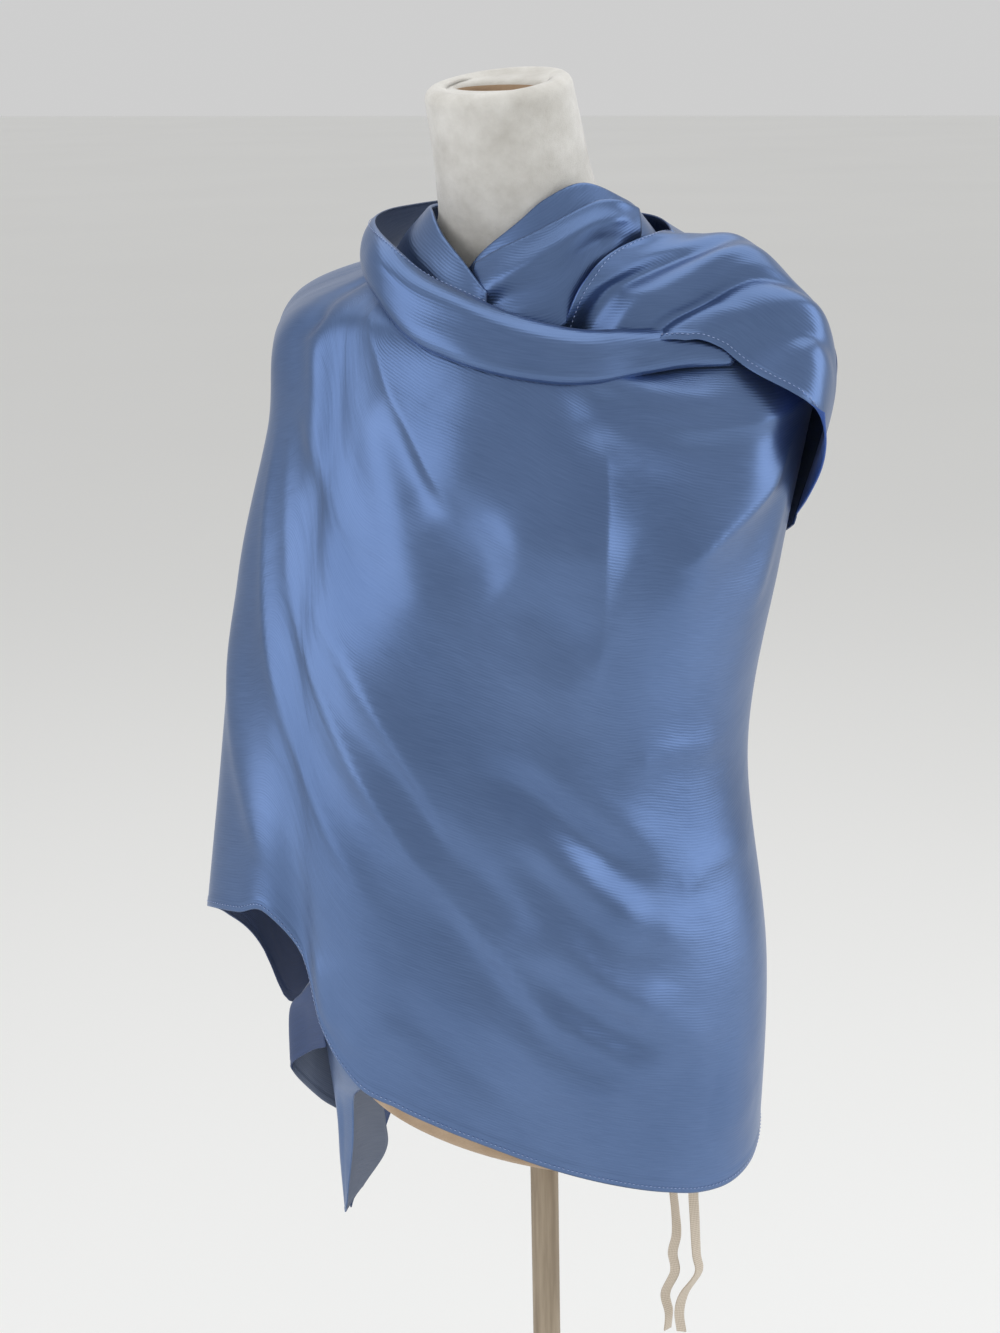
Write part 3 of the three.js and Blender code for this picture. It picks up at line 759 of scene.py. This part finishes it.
# share of the columns, share of the outer turn
WRAP_CROWD = [(0.0, 0.0), (0.28, 0.48), (1.0, 1.0)]
# The inner faces take the reverse, with its painted shade.
TWO_SIDED = [stole_satin, stole_reverse_painted_shade]
outer_cloth = wrap_place(WRAP_START, WRAP_JOIN)
wrap, wrap_size = add_cloth("stole_outer_turn", outer_cloth, 330, 118, TWO_SIDED, hem_low=True, crowd=WRAP_CROWD)
outer_stitches = add_stitches("stole_outer_topstitch", [hem_track(outer_cloth, 0, 0.005, 0.995)])
wear(wrap, [outer_stitches])
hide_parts("back_panel", "front_panel")

inner_cloth = wrap_place(WRAP_JOIN, WRAP_END)
inner, inner_size = add_cloth("stole_inner_turn", inner_cloth, 110, 80, TWO_SIDED, hem_low=True)
wear(inner)
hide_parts("under_panel")

# %% [markdown]
# The collar is the stole's upper part, rolled over on itself.
# It stands up round the wearer's right side and turns into a flattened roll across the chest.
# Its upper edge is the long hem, which shows from the right shoulder to the middle of the neckline.

# %% The collar
# angle, radius, height, half height, bulge, lean, open
COLLAR_ROWS = [
    (-150, 98, 666, 8, 3, 0, 70),
    (-120, 98, 663, 11, 4, 4, 70),
    (-90, 100, 660, 13, 6, 6, 72),
    (-70, 105, 656, 16, 7, 4, 76),
    (-50, 114, 652, 17, 9, 2, 84),
    (-35, 124, 647, 18, 11, 6, 92),
    (-22, 131, 640, 19, 12, 12, 98),
    (-8, 133, 624, 22, 13, 22, 100),
    (8, 131, 612, 23, 13, 28, 100),
    (25, 130, 600, 21, 12, 28, 100),
    (45, 132, 591, 18, 11, 22, 100),
    (65, 139, 590, 14, 10, 12, 100),
    (73, 152, 589, 11, 8, 6, 100),
    (80, 170, 584, 6, 5, 0, 100),
]
# rise, reach below, reach above, path of (angle, share of the way up)
COLLAR_FOLDS = [
    (1.6, 0.10, 0.16, [(-30, 0.62), (0, 0.66), (30, 0.60), (70, 0.55)]),
    (-1.6, 0.12, 0.12, [(-26, 0.42), (5, 0.46), (36, 0.42), (72, 0.40)]),
    (1.4, 0.09, 0.14, [(10, 0.85), (35, 0.80), (66, 0.74)]),
]

COLLAR_FADE = 12


def soft_ends(x, start, end, soft):
    return np.clip((x - start) / soft, 0, 1) * np.clip((end - x) / soft, 0, 1)


def line_relief(folds, along, across, fade):
    """Folds on lines of (place along, place across), each with a reach before the line and one after it."""
    relief = np.zeros(np.shape(along))
    for rise, before, after, path in folds:
        gap = across - smooth_through(column(path, 0), column(path, 1), along)
        height = rise * fade(path[0][0], path[-1][0])
        relief += height * np.exp(-(gap / np.where(gap < 0, before, after)) ** 2)
    return relief


def collar_place(start, end):
    def place(u, v):
        u, v = spread(u, v)
        angle = start + (end - start) * u
        columns = [smooth_through(column(COLLAR_ROWS, 0), column(COLLAR_ROWS, k), angle) for k in range(1, 7)]
        radius, height, half, bulge, lean, opening = columns
        turn, lean = np.radians(opening * (2 * v - 1)), np.radians(lean)
        relief = line_relief(COLLAR_FOLDS, angle, v, lambda first, last: soft_ends(angle, first, last, COLLAR_FADE))
        out = bulge * (np.cos(turn) - 1) + relief
        up = half * np.sin(turn) / np.sin(np.radians(np.minimum(opening, 90)))
        radius = radius + out * np.cos(lean) - up * np.sin(lean)
        height = height + up * np.cos(lean) + out * np.sin(lean)
        return polar(angle, radius, height)
    return place


collar_cloth = collar_place(-150, 80)
# The collar's inner face takes the single layer, whose pale grey is painted light shining through.
collar, collar_size = add_cloth("stole_collar", collar_cloth, 170, 22, [stole_satin, stole_single_painted_light], hem_high=True)
collar_stitches = add_stitches("stole_collar_topstitch", [hem_track(collar_cloth, 1, 0.01, 0.72)])
wear(collar, [collar_stitches])
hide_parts("collar_roll", "collar_stand")

# %% [markdown]
# Round the neck the cloth lies in soft standing folds.
# Each patch is a sheet through a few rows of points, and each point is an angle, a distance from the pole and a height.
# Narrow folds are added on top along lines that are given in shares of the patch.

# %% Patches through rows of points
PATCH_FADE = 0.2
EDGE_SHARE, EDGE_TURN = 0.84, 3.6
EDGE_BELOW, EDGE_STEP = 0.93, 0.01


def through(sections, u, v, axis):
    last = len(sections[0]) - 1
    lines = [smooth_through(np.arange(last + 1), [point[axis] for point in section], v * last) for section in sections]
    return smooth_through(np.arange(len(sections)), lines, u * (len(sections) - 1))


def patch_place(sections, folds=(), clear=False):
    def place(u, v):
        u, v = spread(u, v)
        angle, radius, height = [through(sections, u, v, axis) for axis in range(3)]
        if clear:
            radius = np.maximum(radius, form_reach(angle, height) + CLOTH_WALL + FORM_CLEARANCE)
        relief = line_relief(folds, u, v, lambda first, last: soft_ends(u, first, last, PATCH_FADE * (last - first)))
        return polar(angle, radius + relief, height)
    return place


def rolled(place, radius):
    """The top edge of a sheet turned over towards the pole in a small round, as a folded edge lies."""
    def turned_place(u, v):
        u, v = spread(u, v)
        flat = place(u, np.clip(v / EDGE_SHARE, 0, 1))
        top = np.ones(v.shape)
        rim = place(u, top)
        up = rim - place(u, np.full(v.shape, EDGE_BELOW))
        up /= np.linalg.norm(up, axis=-1, keepdims=True)
        around = place(np.clip(u + EDGE_STEP, 0, 1), top) - place(np.clip(u - EDGE_STEP, 0, 1), top)
        inward = np.cross(up, around)
        inward /= np.linalg.norm(inward, axis=-1, keepdims=True)
        turn = np.clip((v - EDGE_SHARE) / (1 - EDGE_SHARE), 0, 1) * EDGE_TURN
        edge = rim + radius * (np.sin(turn)[..., None] * up + (1 - np.cos(turn))[..., None] * inward)
        return np.where((v > EDGE_SHARE)[..., None], edge, flat)
    return turned_place


NECK_LEFT = [
    [(-8, 90, 594), (-8, 87, 612), (-6, 78, 632)],
    [(8, 90, 596), (7, 86, 622), (5, 75, 649)],
    [(24, 90, 602), (23, 85, 636), (23, 72, 667)],
    [(40, 90, 610), (39, 84, 648), (39, 70, 682)],
    [(60, 92, 630), (60, 86, 664), (60, 73, 691)],
    [(85, 92, 649), (85, 87, 664), (86, 77, 679)],
    [(112, 90, 650), (112, 84, 658), (114, 75, 668)],
    [(140, 84, 648), (140, 78, 660), (142, 69, 670)],
    [(180, 80, 646), (180, 75, 662), (180, 65, 678)],
]
NECK_RIGHT = [
    [(-180, 80, 646), (-180, 75, 662), (-180, 65, 678)],
    [(-150, 82, 648), (-150, 77, 661), (-150, 67, 677)],
    [(-120, 86, 650), (-120, 79, 661), (-120, 67, 675)],
    [(-90, 90, 651), (-90, 81, 661), (-90, 68, 674)],
    [(-65, 93, 646), (-64, 84, 658), (-62, 69, 674)],
    [(-44, 98, 629), (-42, 86, 652), (-40, 71, 672)],
    [(-24, 102, 618), (-20, 92, 640), (-18, 78, 658)],
    [(-8, 103, 606), (-4, 98, 628), (-1, 87, 644)],
    [(12, 101, 598), (13, 101, 612), (13, 99, 625)],
]
NECK_FOLD = [
    [(2, 96, 594), (2, 95, 614), (3, 82, 642)],
    [(15, 98, 598), (15, 97, 628), (16, 83, 652)],
    [(28, 103, 596), (28, 98, 636), (30, 84, 661)],
    [(42, 103, 604), (42, 99, 648), (44, 86, 671)],
    [(55, 99, 632), (55, 98, 660), (58, 90, 680)],
    [(66, 98, 644), (66, 99, 664), (68, 95, 680)],
    [(78, 97, 652), (78, 98, 664), (79, 95, 674)],
]
print("neck tables ready")

# %% The neck folds


def add_neck(name, sections, folds, radius, columns, rows, clear=False):
    return add_cloth(name, rolled(patch_place(sections, folds, clear), radius), columns, rows, TWO_SIDED)


neck_left, neck_left_size = add_neck(
    "stole_neck_left", NECK_LEFT, [(-2.5, 0.12, 0.2, [(0.05, 0.45), (0.35, 0.5), (0.6, 0.45)])], 1.7, 110, 30)
wear(neck_left)
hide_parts("neck_wrap_left")

neck_right, neck_right_size = add_neck(
    "stole_neck_right", NECK_RIGHT, [(1.5, 0.15, 0.2, [(0.5, 0.5), (0.75, 0.55), (1.0, 0.5)])], 1.5, 110, 30)
wear(neck_right)
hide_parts("neck_wrap_right")

NECK_FOLD_LINES = [
    (-4.0, 0.12, 0.16, [(0.0, 0.30), (0.4, 0.40), (0.9, 0.35)]),
    (2.0, 0.1, 0.14, [(0.2, 0.62), (0.5, 0.70), (0.95, 0.66)]),
]
neck_fold, neck_fold_size = add_neck("stole_neck_fold", NECK_FOLD, NECK_FOLD_LINES, 2.4, 70, 34, clear=True)
wear(neck_fold)
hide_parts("neck_fold")

# %% [markdown]
# The flap is the stole's free upper corner, thrown over the wearer's left shoulder.
# Its rows run from the neck side out to the arm side, each from the stitched hem in front, over the crest, to the back.
# There it meets the wrap's first edge, so the two make one cloth.

# %% The shoulder flap
FLAP_ROWS = [
    [(62, -76, 602), (82, -74, 633), (92, -57, 650), (105, -20, 660)],
    [(90, -62, 606), (105, -52, 631), (117, -22, 651), (122, 14, 657)],
    [(121, -59, 605), (136, -36, 622), (149, -10, 648), (150, 20, 655)],
    [(148, -44, 601), (162, -28, 618), (178, -8, 636), (182, 22, 630)],
    [(179, -32, 577), (196, -18, 600), (208, 2, 610), (203, 34, 602)],
    [(206, -25, 563), (217, -10, 578), (219, 8, 574), (211, 36, 556)],
    [(224, -15, 550), (219, 2, 526), (208, 22, 504), (191, 42, 480)],
]
FLAP_BACK_STATIONS = np.array([6, 5.8, 5.55, 5.25, 4.8, 4.1, 3.3])
# rise, reach on both sides, path of (share from hem to back, share from neck to arm)
FLAP_FOLDS = [
    (-5.5, 0.045, 0.06, [(0.02, 0.06), (0.30, 0.16), (0.62, 0.30)]),
    (-6.0, 0.04, 0.06, [(0.06, 0.32), (0.30, 0.42), (0.60, 0.55)]),
    (4.0, 0.06, 0.06, [(0.02, 0.18), (0.32, 0.28), (0.66, 0.42)]),
    (4.0, 0.07, 0.05, [(0.05, 0.50), (0.30, 0.58), (0.62, 0.68)]),
    (-3.0, 0.05, 0.05, [(0.03, 0.64), (0.28, 0.70), (0.55, 0.78)]),
]
FLAP_FADE, FLAP_STEP = 0.3, 0.004
TUCK_DEEP, TUCK_SHALLOW, TUCK_SHARE = 17, 8, 0.22

flap_start = np.full(7, float(WRAP_START))
flap_ends = polar(flap_start, *wrap_point(flap_start, FLAP_BACK_STATIONS))
flap_sections = [row + [tuple(end - (0, 0, FORM_BASE))] for row, end in zip(FLAP_ROWS, flap_ends)]


def flap_base(u, v):
    x, y, z = [through(flap_sections, u, v, axis) for axis in range(3)]
    tuck = TUCK_DEEP * np.clip((0.36 - u) / 0.14, 0, 1)
    tuck += TUCK_SHALLOW * np.clip((0.58 - u) / 0.12, 0, 1) * np.clip((u - 0.2) / 0.16, 0, 1)
    z = z - tuck * np.clip((TUCK_SHARE - v) / TUCK_SHARE, 0, 1) ** 2
    return np.stack([x, y, FORM_BASE + z], -1)


def flap_place(u, v):
    u, v = spread(u, v)
    # The folds start at full height on the hem and fade out only towards the back
    relief = line_relief(FLAP_FOLDS, v, u, lambda first, last: soft_ends(v, -1, last + FLAP_FADE / 2, FLAP_FADE))
    return flap_base(u, v) + surface_normal(flap_base, u, v, FLAP_STEP) * relief[..., None]


def flap_turned(u, v):
    return flap_place(v, u)


# The flap's inner face takes the brighter reverse, which is painted light.
flap, flap_size = add_cloth("stole_shoulder_flap", flap_place, 90, 60, [stole_satin, stole_painted_lit_reverse], hem_low=True)
flap_stitches = add_stitches(
    "stole_flap_topstitch", [hem_track(flap_place, 0, 0.01, 0.99), hem_track(flap_turned, 0, 0.06, 0.9, -1)])
wear(flap, [flap_stitches])
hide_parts("shoulder_flap")

# %% [markdown]
# At the right hip the stole's other end hangs out under the wrap: a gathered piece and a narrow pointed tail.
# Where only one layer hangs free the light comes through; this light is painted, so those parts are coloured grey and
# pale. The gathered piece's upper part takes the reverse, darkened with painted shade.

# %% The hanging end
END_ROWS = [
    [(-57, 167, 42), (-57, 168, 62), (-56, 168, 84), (-54, 168, 104)],
    [(-62, 182, 30), (-62, 182, 60), (-59, 178, 82), (-55, 170, 104)],
    [(-67, 201, 6), (-67, 199, 56), (-61, 184, 82), (-56, 171, 104)],
    [(-73, 186, -30), (-71, 187, 45), (-64, 182, 80), (-57, 172, 104)],
    [(-78, 172, -50), (-77, 172, 20), (-70, 172, 78), (-60, 173, 104)],
]
TAIL_ROWS = [
    [(-80, 162.6, -124), (-90, 153, -100), (-90, 152, -69), (-86, 154, 0), (-82, 158, 60)],
    [(-77, 166, -130), (-80, 163, -92), (-80, 162, -50), (-77, 164, 10), (-74, 166, 60)],
    [(-74.5, 169.5, -136), (-73, 170, -85), (-72, 170, -38), (-67, 171, 25), (-64, 172, 60)],
    [(-73.5, 168.5, -134), (-69.5, 163, -78), (-68, 161, -28), (-58, 158, 24), (-56, 160, 60)],
    [(-72.5, 167, -130), (-66, 154.4, -63), (-63, 150, -14), (-48, 138, 22), (-46, 142, 60)],
]
end_cloth = patch_place(END_ROWS)
# Painted light and shade: the gathered piece's upper part takes the darker reverse and its lower part the pale single
# layer.
hanging_end, end_size = add_cloth(
    "stole_end_gather", end_cloth, 44, 40, [stole_reverse_painted_shade, stole_single_painted_light], hem_low=True, second=0.52)
wear(hanging_end)
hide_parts("end_cascade")

# Painted light: the tail's first half takes the pale single layer.
tail_cloth = patch_place(TAIL_ROWS)
tail, tail_size = add_cloth(
    "stole_tail", tail_cloth, 40, 60, [stole_single_painted_light, stole_satin], hem_low=True, second=0.50)
wear(tail)
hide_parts("tail_strip")

# %% [markdown]
# The form's cover is a tube from the underside to the neck, made as a grid whose two long sides are then joined.
# The top of the neck is a rounded rim that dips to a narrow slit, where the cover is tucked in over the lining.

# %% The dress form
FORM_SIDES, FORM_STEPS = 128, 150
COVER_EDGE = 120
NECK_TOP, NECK_SIDES = 749.0, 72
TOP_FROM, BOTTOM_TO = 700, 60
SLIT_TOP, SLIT_REACH = 1.4, 34
# half length, half width and height of each ring from the neck's top over the rim and down into the slit
NECK_RIM = [
    (48.5, 48.5, 2.6), (47.1, 47.1, 5.2), (44.8, 44.8, 7.0), (42, 42, 7.6), (38.5, 38.5, 7.0), (34, 34, 5.4),
    (36, 27, 4.8), (34.5, 20, 4.6), (33.5, 15, 3.8), (32.5, 12.5, 2.0), (31.5, 11.0, -1.5), (30.5, 10.0, -11),
]
# scale and drop in metres of the two rings that turn the cover in under the form
UNDER_RINGS = [(0.985, -0.0002), (0.975, 0.004)]


def form_cover_grid():
    bm = bmesh.new()
    bmesh.ops.create_grid(bm, x_segments=FORM_SIDES, y_segments=FORM_STEPS, size=0.5)
    levels = column(FORM_RINGS, 0)
    rows = np.linspace(0, len(FORM_RINGS) - 1, FORM_STEPS + 1)
    heights = smooth_through(np.arange(len(FORM_RINGS)), levels, rows)
    angles = np.linspace(0, 360, FORM_SIDES + 1)
    points = form_point(angles[:, None], heights[None, :])
    for vert in bm.verts:
        i, j = round((vert.co.x + 0.5) * FORM_SIDES), round((vert.co.y + 0.5) * FORM_STEPS)
        vert.co = points[i, j] * MM
    bmesh.ops.remove_doubles(bm, verts=bm.verts, dist=1e-6)
    return bm


def grow_rings(bm, edges, moves):
    """Extrudes a closed edge loop ring by ring: each move takes a vertex's place to its new place."""
    for move in moves:
        made = bmesh.ops.extrude_edge_only(bm, edges=edges)
        edges = [g for g in made["geom"] if isinstance(g, bmesh.types.BMEdge)]
        for vert in {v for e in edges for v in e.verts}:
            vert.co = move(vert.co.copy())


neck_ring = form_point(np.linspace(0, 360, NECK_SIDES + 1)[:-1], np.full(NECK_SIDES, NECK_TOP)) * MM
neck_centre = Vector(neck_ring.mean(0))
neck_up = Vector((0, -math.sin(NECK_TILT), math.cos(NECK_TILT)))
neck_long = Vector((1, 0, 0))
neck_wide = neck_up.cross(neck_long)


def in_neck(along, across, up):
    return neck_centre + neck_long * (along * MM) + neck_wide * (across * MM) + neck_up * (up * MM)


def neck_move(half_length, half_width, height):
    def move(co):
        flat = co - neck_centre
        a = math.atan2(flat.dot(neck_wide), flat.dot(neck_long))
        return in_neck(math.cos(a) * half_length, math.sin(a) * half_width, height)
    return move


def under_move(scale, lift):
    return lambda co: Vector((co.x * scale, co.y * scale, co.z + lift))


form_bm = form_cover_grid()
top_z, bottom_z = (FORM_BASE + TOP_FROM) * MM, (FORM_BASE + BOTTOM_TO) * MM
top_edges = [e for e in form_bm.edges if e.is_boundary and min(v.co.z for v in e.verts) > top_z]
grow_rings(form_bm, top_edges, [neck_move(*ring) for ring in NECK_RIM])
bottom_edges = [e for e in form_bm.edges if e.is_boundary and max(v.co.z for v in e.verts) < bottom_z]
grow_rings(form_bm, bottom_edges, [under_move(*ring) for ring in UNDER_RINGS])
bmesh.ops.recalc_face_normals(form_bm, faces=form_bm.faces)
for face in form_bm.faces:
    spot = face.calc_center_median()
    inward = spot - neck_centre
    inside_slit = inward.dot(neck_up) < SLIT_TOP * MM and inward.length < SLIT_REACH * MM
    face.material_index = int(inside_slit or spot.z < (FORM_BASE + COVER_EDGE) * MM)
form = finish_piece("dress_form_cover", form_bm, [form_velour, form_lining])
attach(form, "root")
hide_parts("dress_form")
print("form cover", len(form.data.polygons), "faces")

# %% [markdown]
# Tan lining cloth shows in two places: down in the neck slit, and as the flat panel that closes the underside.
# Both start as a circle from the circle operator, stretched to shape and inset towards the middle.

# %% The lining panels


def lining_disc(name, at, rings):
    bm = bmesh.new()
    bmesh.ops.create_circle(bm, cap_ends=True, segments=96, radius=1.0)
    for inset in rings:
        middle = max(bm.faces, key=lambda face: len(face.verts))
        bmesh.ops.inset_region(bm, faces=[middle], thickness=inset, depth=0.0)
    for vert in bm.verts:
        vert.co = at(vert.co.copy())
    bmesh.ops.recalc_face_normals(bm, faces=bm.faces)
    return finish_piece(name, bm, [form_lining])


def slit_floor(co):
    return in_neck(co.x * 31, co.y * 10.5, -10.2 - 1.5 * (1 - co.length))


def underside(co):
    angle = math.degrees(math.atan2(co.x, -co.y))
    rim = form_point(np.array(angle), np.array(float(FORM_UNDERSIDE)))
    centre = Vector((0, 6, FORM_BASE))
    spot = centre.lerp(Vector(rim), min(co.length, 1) * 0.985)
    return Vector((spot.x, spot.y, FORM_BASE + FORM_UNDERSIDE + 0.6 + 1.2 * (1 - co.length ** 2))) * MM


slit_lining = lining_disc("form_neck_lining", slit_floor, [0.3, 0.3])
under_lining = lining_disc("form_underside_lining", underside, [0.03, 0.2, 0.2, 0.2, 0.2])
for piece in (slit_lining, under_lining):
    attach(piece, "root")
print("lining panels", len(slit_lining.data.polygons), len(under_lining.data.polygons), "faces")

# %% [markdown]
# The stand is a steel pole in a turned flange on a round plate.
# Each part is turned from its own half profile with the spin operator, so its edges have real rounds.

# %% The stand
PLATE_PROFILE = [
    (0, 0), (166, 0), (168.6, 0.6), (170, 2.4), (170, 6), (169.2, 8), (167, 9.4), (163, 10), (60, 10), (0, 10)]
FLANGE_PROFILE = [
    (0, 10.3), (32, 10.3), (32, 14), (31, 16), (28, 17), (20, 18.5), (17, 21), (16, 24), (15.4, 35.2), (14.6, 36),
    (0, 36)]
POLE_PROFILE = [(0, 36.3), (11, 36.3), (11, 300), (11, 560), (11, 767.2), (10.6, 767.7), (0, 767.7)]


def turned(name, profile, finish, steps):
    bm = bmesh.new()
    verts = [bm.verts.new((r * MM, 0, z * MM)) for r, z in profile]
    edges = [bm.edges.new(pair) for pair in zip(verts, verts[1:])]
    bmesh.ops.spin(
        bm, geom=verts + edges, cent=(0, 0, 0), axis=(0, 0, 1), angle=2 * math.pi, steps=steps, use_merge=True)
    bmesh.ops.remove_doubles(bm, verts=bm.verts, dist=1e-6)
    bmesh.ops.recalc_face_normals(bm, faces=bm.faces)
    piece = finish_piece(name, bm, [finish])
    print(name, len(piece.data.polygons), "faces")
    return piece


base_plate = turned("stand_base_plate", PLATE_PROFILE, base_steel, 128)
flange = turned("stand_flange", FLANGE_PROFILE, base_steel, 96)
pole = turned("stand_pole", POLE_PROFILE, stand_steel, 48)
for piece, node, slot in ((base_plate, "base_plate", "base"), (flange, "pole_flange", "base"), (pole, "pole", "pole")):
    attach(piece, "root")
    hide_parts(node)

# %% [markdown]
# Two cotton tapes hang free from the underside of the form, as ties for its cover.
# They are flat, a little twisted and creased where they were knotted before.

# %% The tapes
TAPE_WIDTH, TAPE_THICKNESS = 7.5, 1.0
TAPE_STEPS, TAPE_STRIPS, PATH_EVERY = 120, 6, 4
TAPE_FRONT = [
    (110, 0, 0), (111, 0, -28), (115, 0, -63), (116, 0, -83), (113, 0, -100), (115, 0, -116), (107, 0, -138),
    (110, 0, -154), (109, 0, -170)]
TAPE_BACK = [
    (131, 0, 0), (131, 0, -18), (130, 0, -42), (131, 0, -60), (133, 0, -94), (135, 0, -110), (123, 0, -133),
    (119, 0, -151), (121, 0, -168)]


def add_tape(name, node, route, twist):
    stations = np.arange(len(route))
    steps = np.linspace(0, len(route) - 1, TAPE_STEPS + 1)
    line = np.stack([smooth_through(stations, column(route, k), steps) for k in range(3)], -1)
    line = line + (0, 0, FORM_BASE + FORM_UNDERSIDE - 0.3)
    travel = travelled(line)
    bm = bmesh.new()
    bmesh.ops.create_grid(bm, x_segments=TAPE_STRIPS, y_segments=TAPE_STEPS, size=0.5)
    layer = bm.loops.layers.uv.new("cloth")
    cells = {}
    for vert in bm.verts:
        x, j = vert.co.x, round((vert.co.y + 0.5) * TAPE_STEPS)
        turn = camera_yaw + twist * math.sin(2 * math.pi * (j / TAPE_STEPS) * 1.3) + 0.2
        side = np.array([math.cos(turn), math.sin(turn), 0.0])
        cells[vert.index] = (x * TAPE_WIDTH * MM, travel[j] * MM)
        vert.co = Vector(line[j] + side * x * TAPE_WIDTH) * MM
    for face in bm.faces:
        for loop in face.loops:
            loop[layer].uv = cells[loop.vert.index]
    piece = finish_piece(name, bm, [cotton_tape])
    solid = piece.modifiers.new("thickness", "SOLIDIFY")
    solid.thickness = TAPE_THICKNESS * MM
    solid.offset = 0
    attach(piece, "root")
    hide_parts(node)
    [tuple(p * MM) for p in line[::PATH_EVERY]]


add_tape("form_tape_front", "tape_front", TAPE_FRONT, 0.5)
add_tape("form_tape_back", "tape_back", TAPE_BACK, -0.4)

# %% [markdown]
# A plain studio: a pale floor, an even pale surround, one large soft lamp on each side and a third above.
# The lamps stand apart, so that the satin mirrors bright and less bright parts of the room from fold to fold.

# %% Floor and light
FLOOR_SIZE, FLOOR_DROP = 40.0, 0.001
WORLD_STRENGTH = 0.62


def add_floor():
    bm = bmesh.new()
    bmesh.ops.create_grid(bm, x_segments=8, y_segments=8, size=FLOOR_SIZE)
    bmesh.ops.translate(bm, verts=bm.verts, vec=(0, 0, -FLOOR_DROP))
    made, tree = new_material("studio_floor")
    cloud = noise(tree, on_object(tree), 0.4)
    surface(tree, {"Roughness": 0.9, "Specular IOR Level": 0.1},
            {"Base Color": ramp_between(tree, cloud, "#f5f5f3", "#fafaf8")})
    finish_piece("studio_floor", bm, [made])


def add_lamp(name, place, target, width, height, power, colour):
    data = bpy.data.lights.new(name, "AREA")
    data.shape = "RECTANGLE"
    data.size, data.size_y = width, height
    data.energy = power
    data.color = linear(colour)[:3]
    lamp = bpy.data.objects.new(name, data)
    bpy.context.scene.collection.objects.link(lamp)
    aim = (Vector(target) - Vector(place)).to_track_quat("-Z", "Y")
    lamp.matrix_world = Matrix.Translation(place) @ aim.to_matrix().to_4x4()
    lamp.visible_camera = False


add_floor()
right = Vector((math.cos(camera_yaw), math.sin(camera_yaw), 0))
front = Vector((math.sin(camera_yaw), -math.cos(camera_yaw), 0))
target = Vector((0, 0, 1.2))
lift = Vector((0, 0, 0.3))
add_lamp("lamp_left", target + front * 1.1 - right * 2.0 + lift, target, 1.8, 2.4, 17, "#f6f8ff")
add_lamp("lamp_right", target + right * 2.2 + front * 0.5 + lift, target, 1.8, 2.4, 19, "#f6f9ff")
add_lamp("lamp_top", (0.0, 0.6, 3.6), (0, 0, 0), 3.4, 3.4, 34, "#ffffff")
world = bpy.data.worlds.new("studio")
bpy.context.scene.world = world
world.use_nodes = True
world.node_tree.nodes.clear()
ambient = add_node(world.node_tree, "ShaderNodeBackground", {"Color": linear("#ffffff"), "Strength": WORLD_STRENGTH})
add_node(world.node_tree, "ShaderNodeOutputWorld", links={"Surface": ambient.outputs[0]})
bpy.context.scene.view_settings.view_transform = "Standard"
print("floor, three lamps and a pale world")
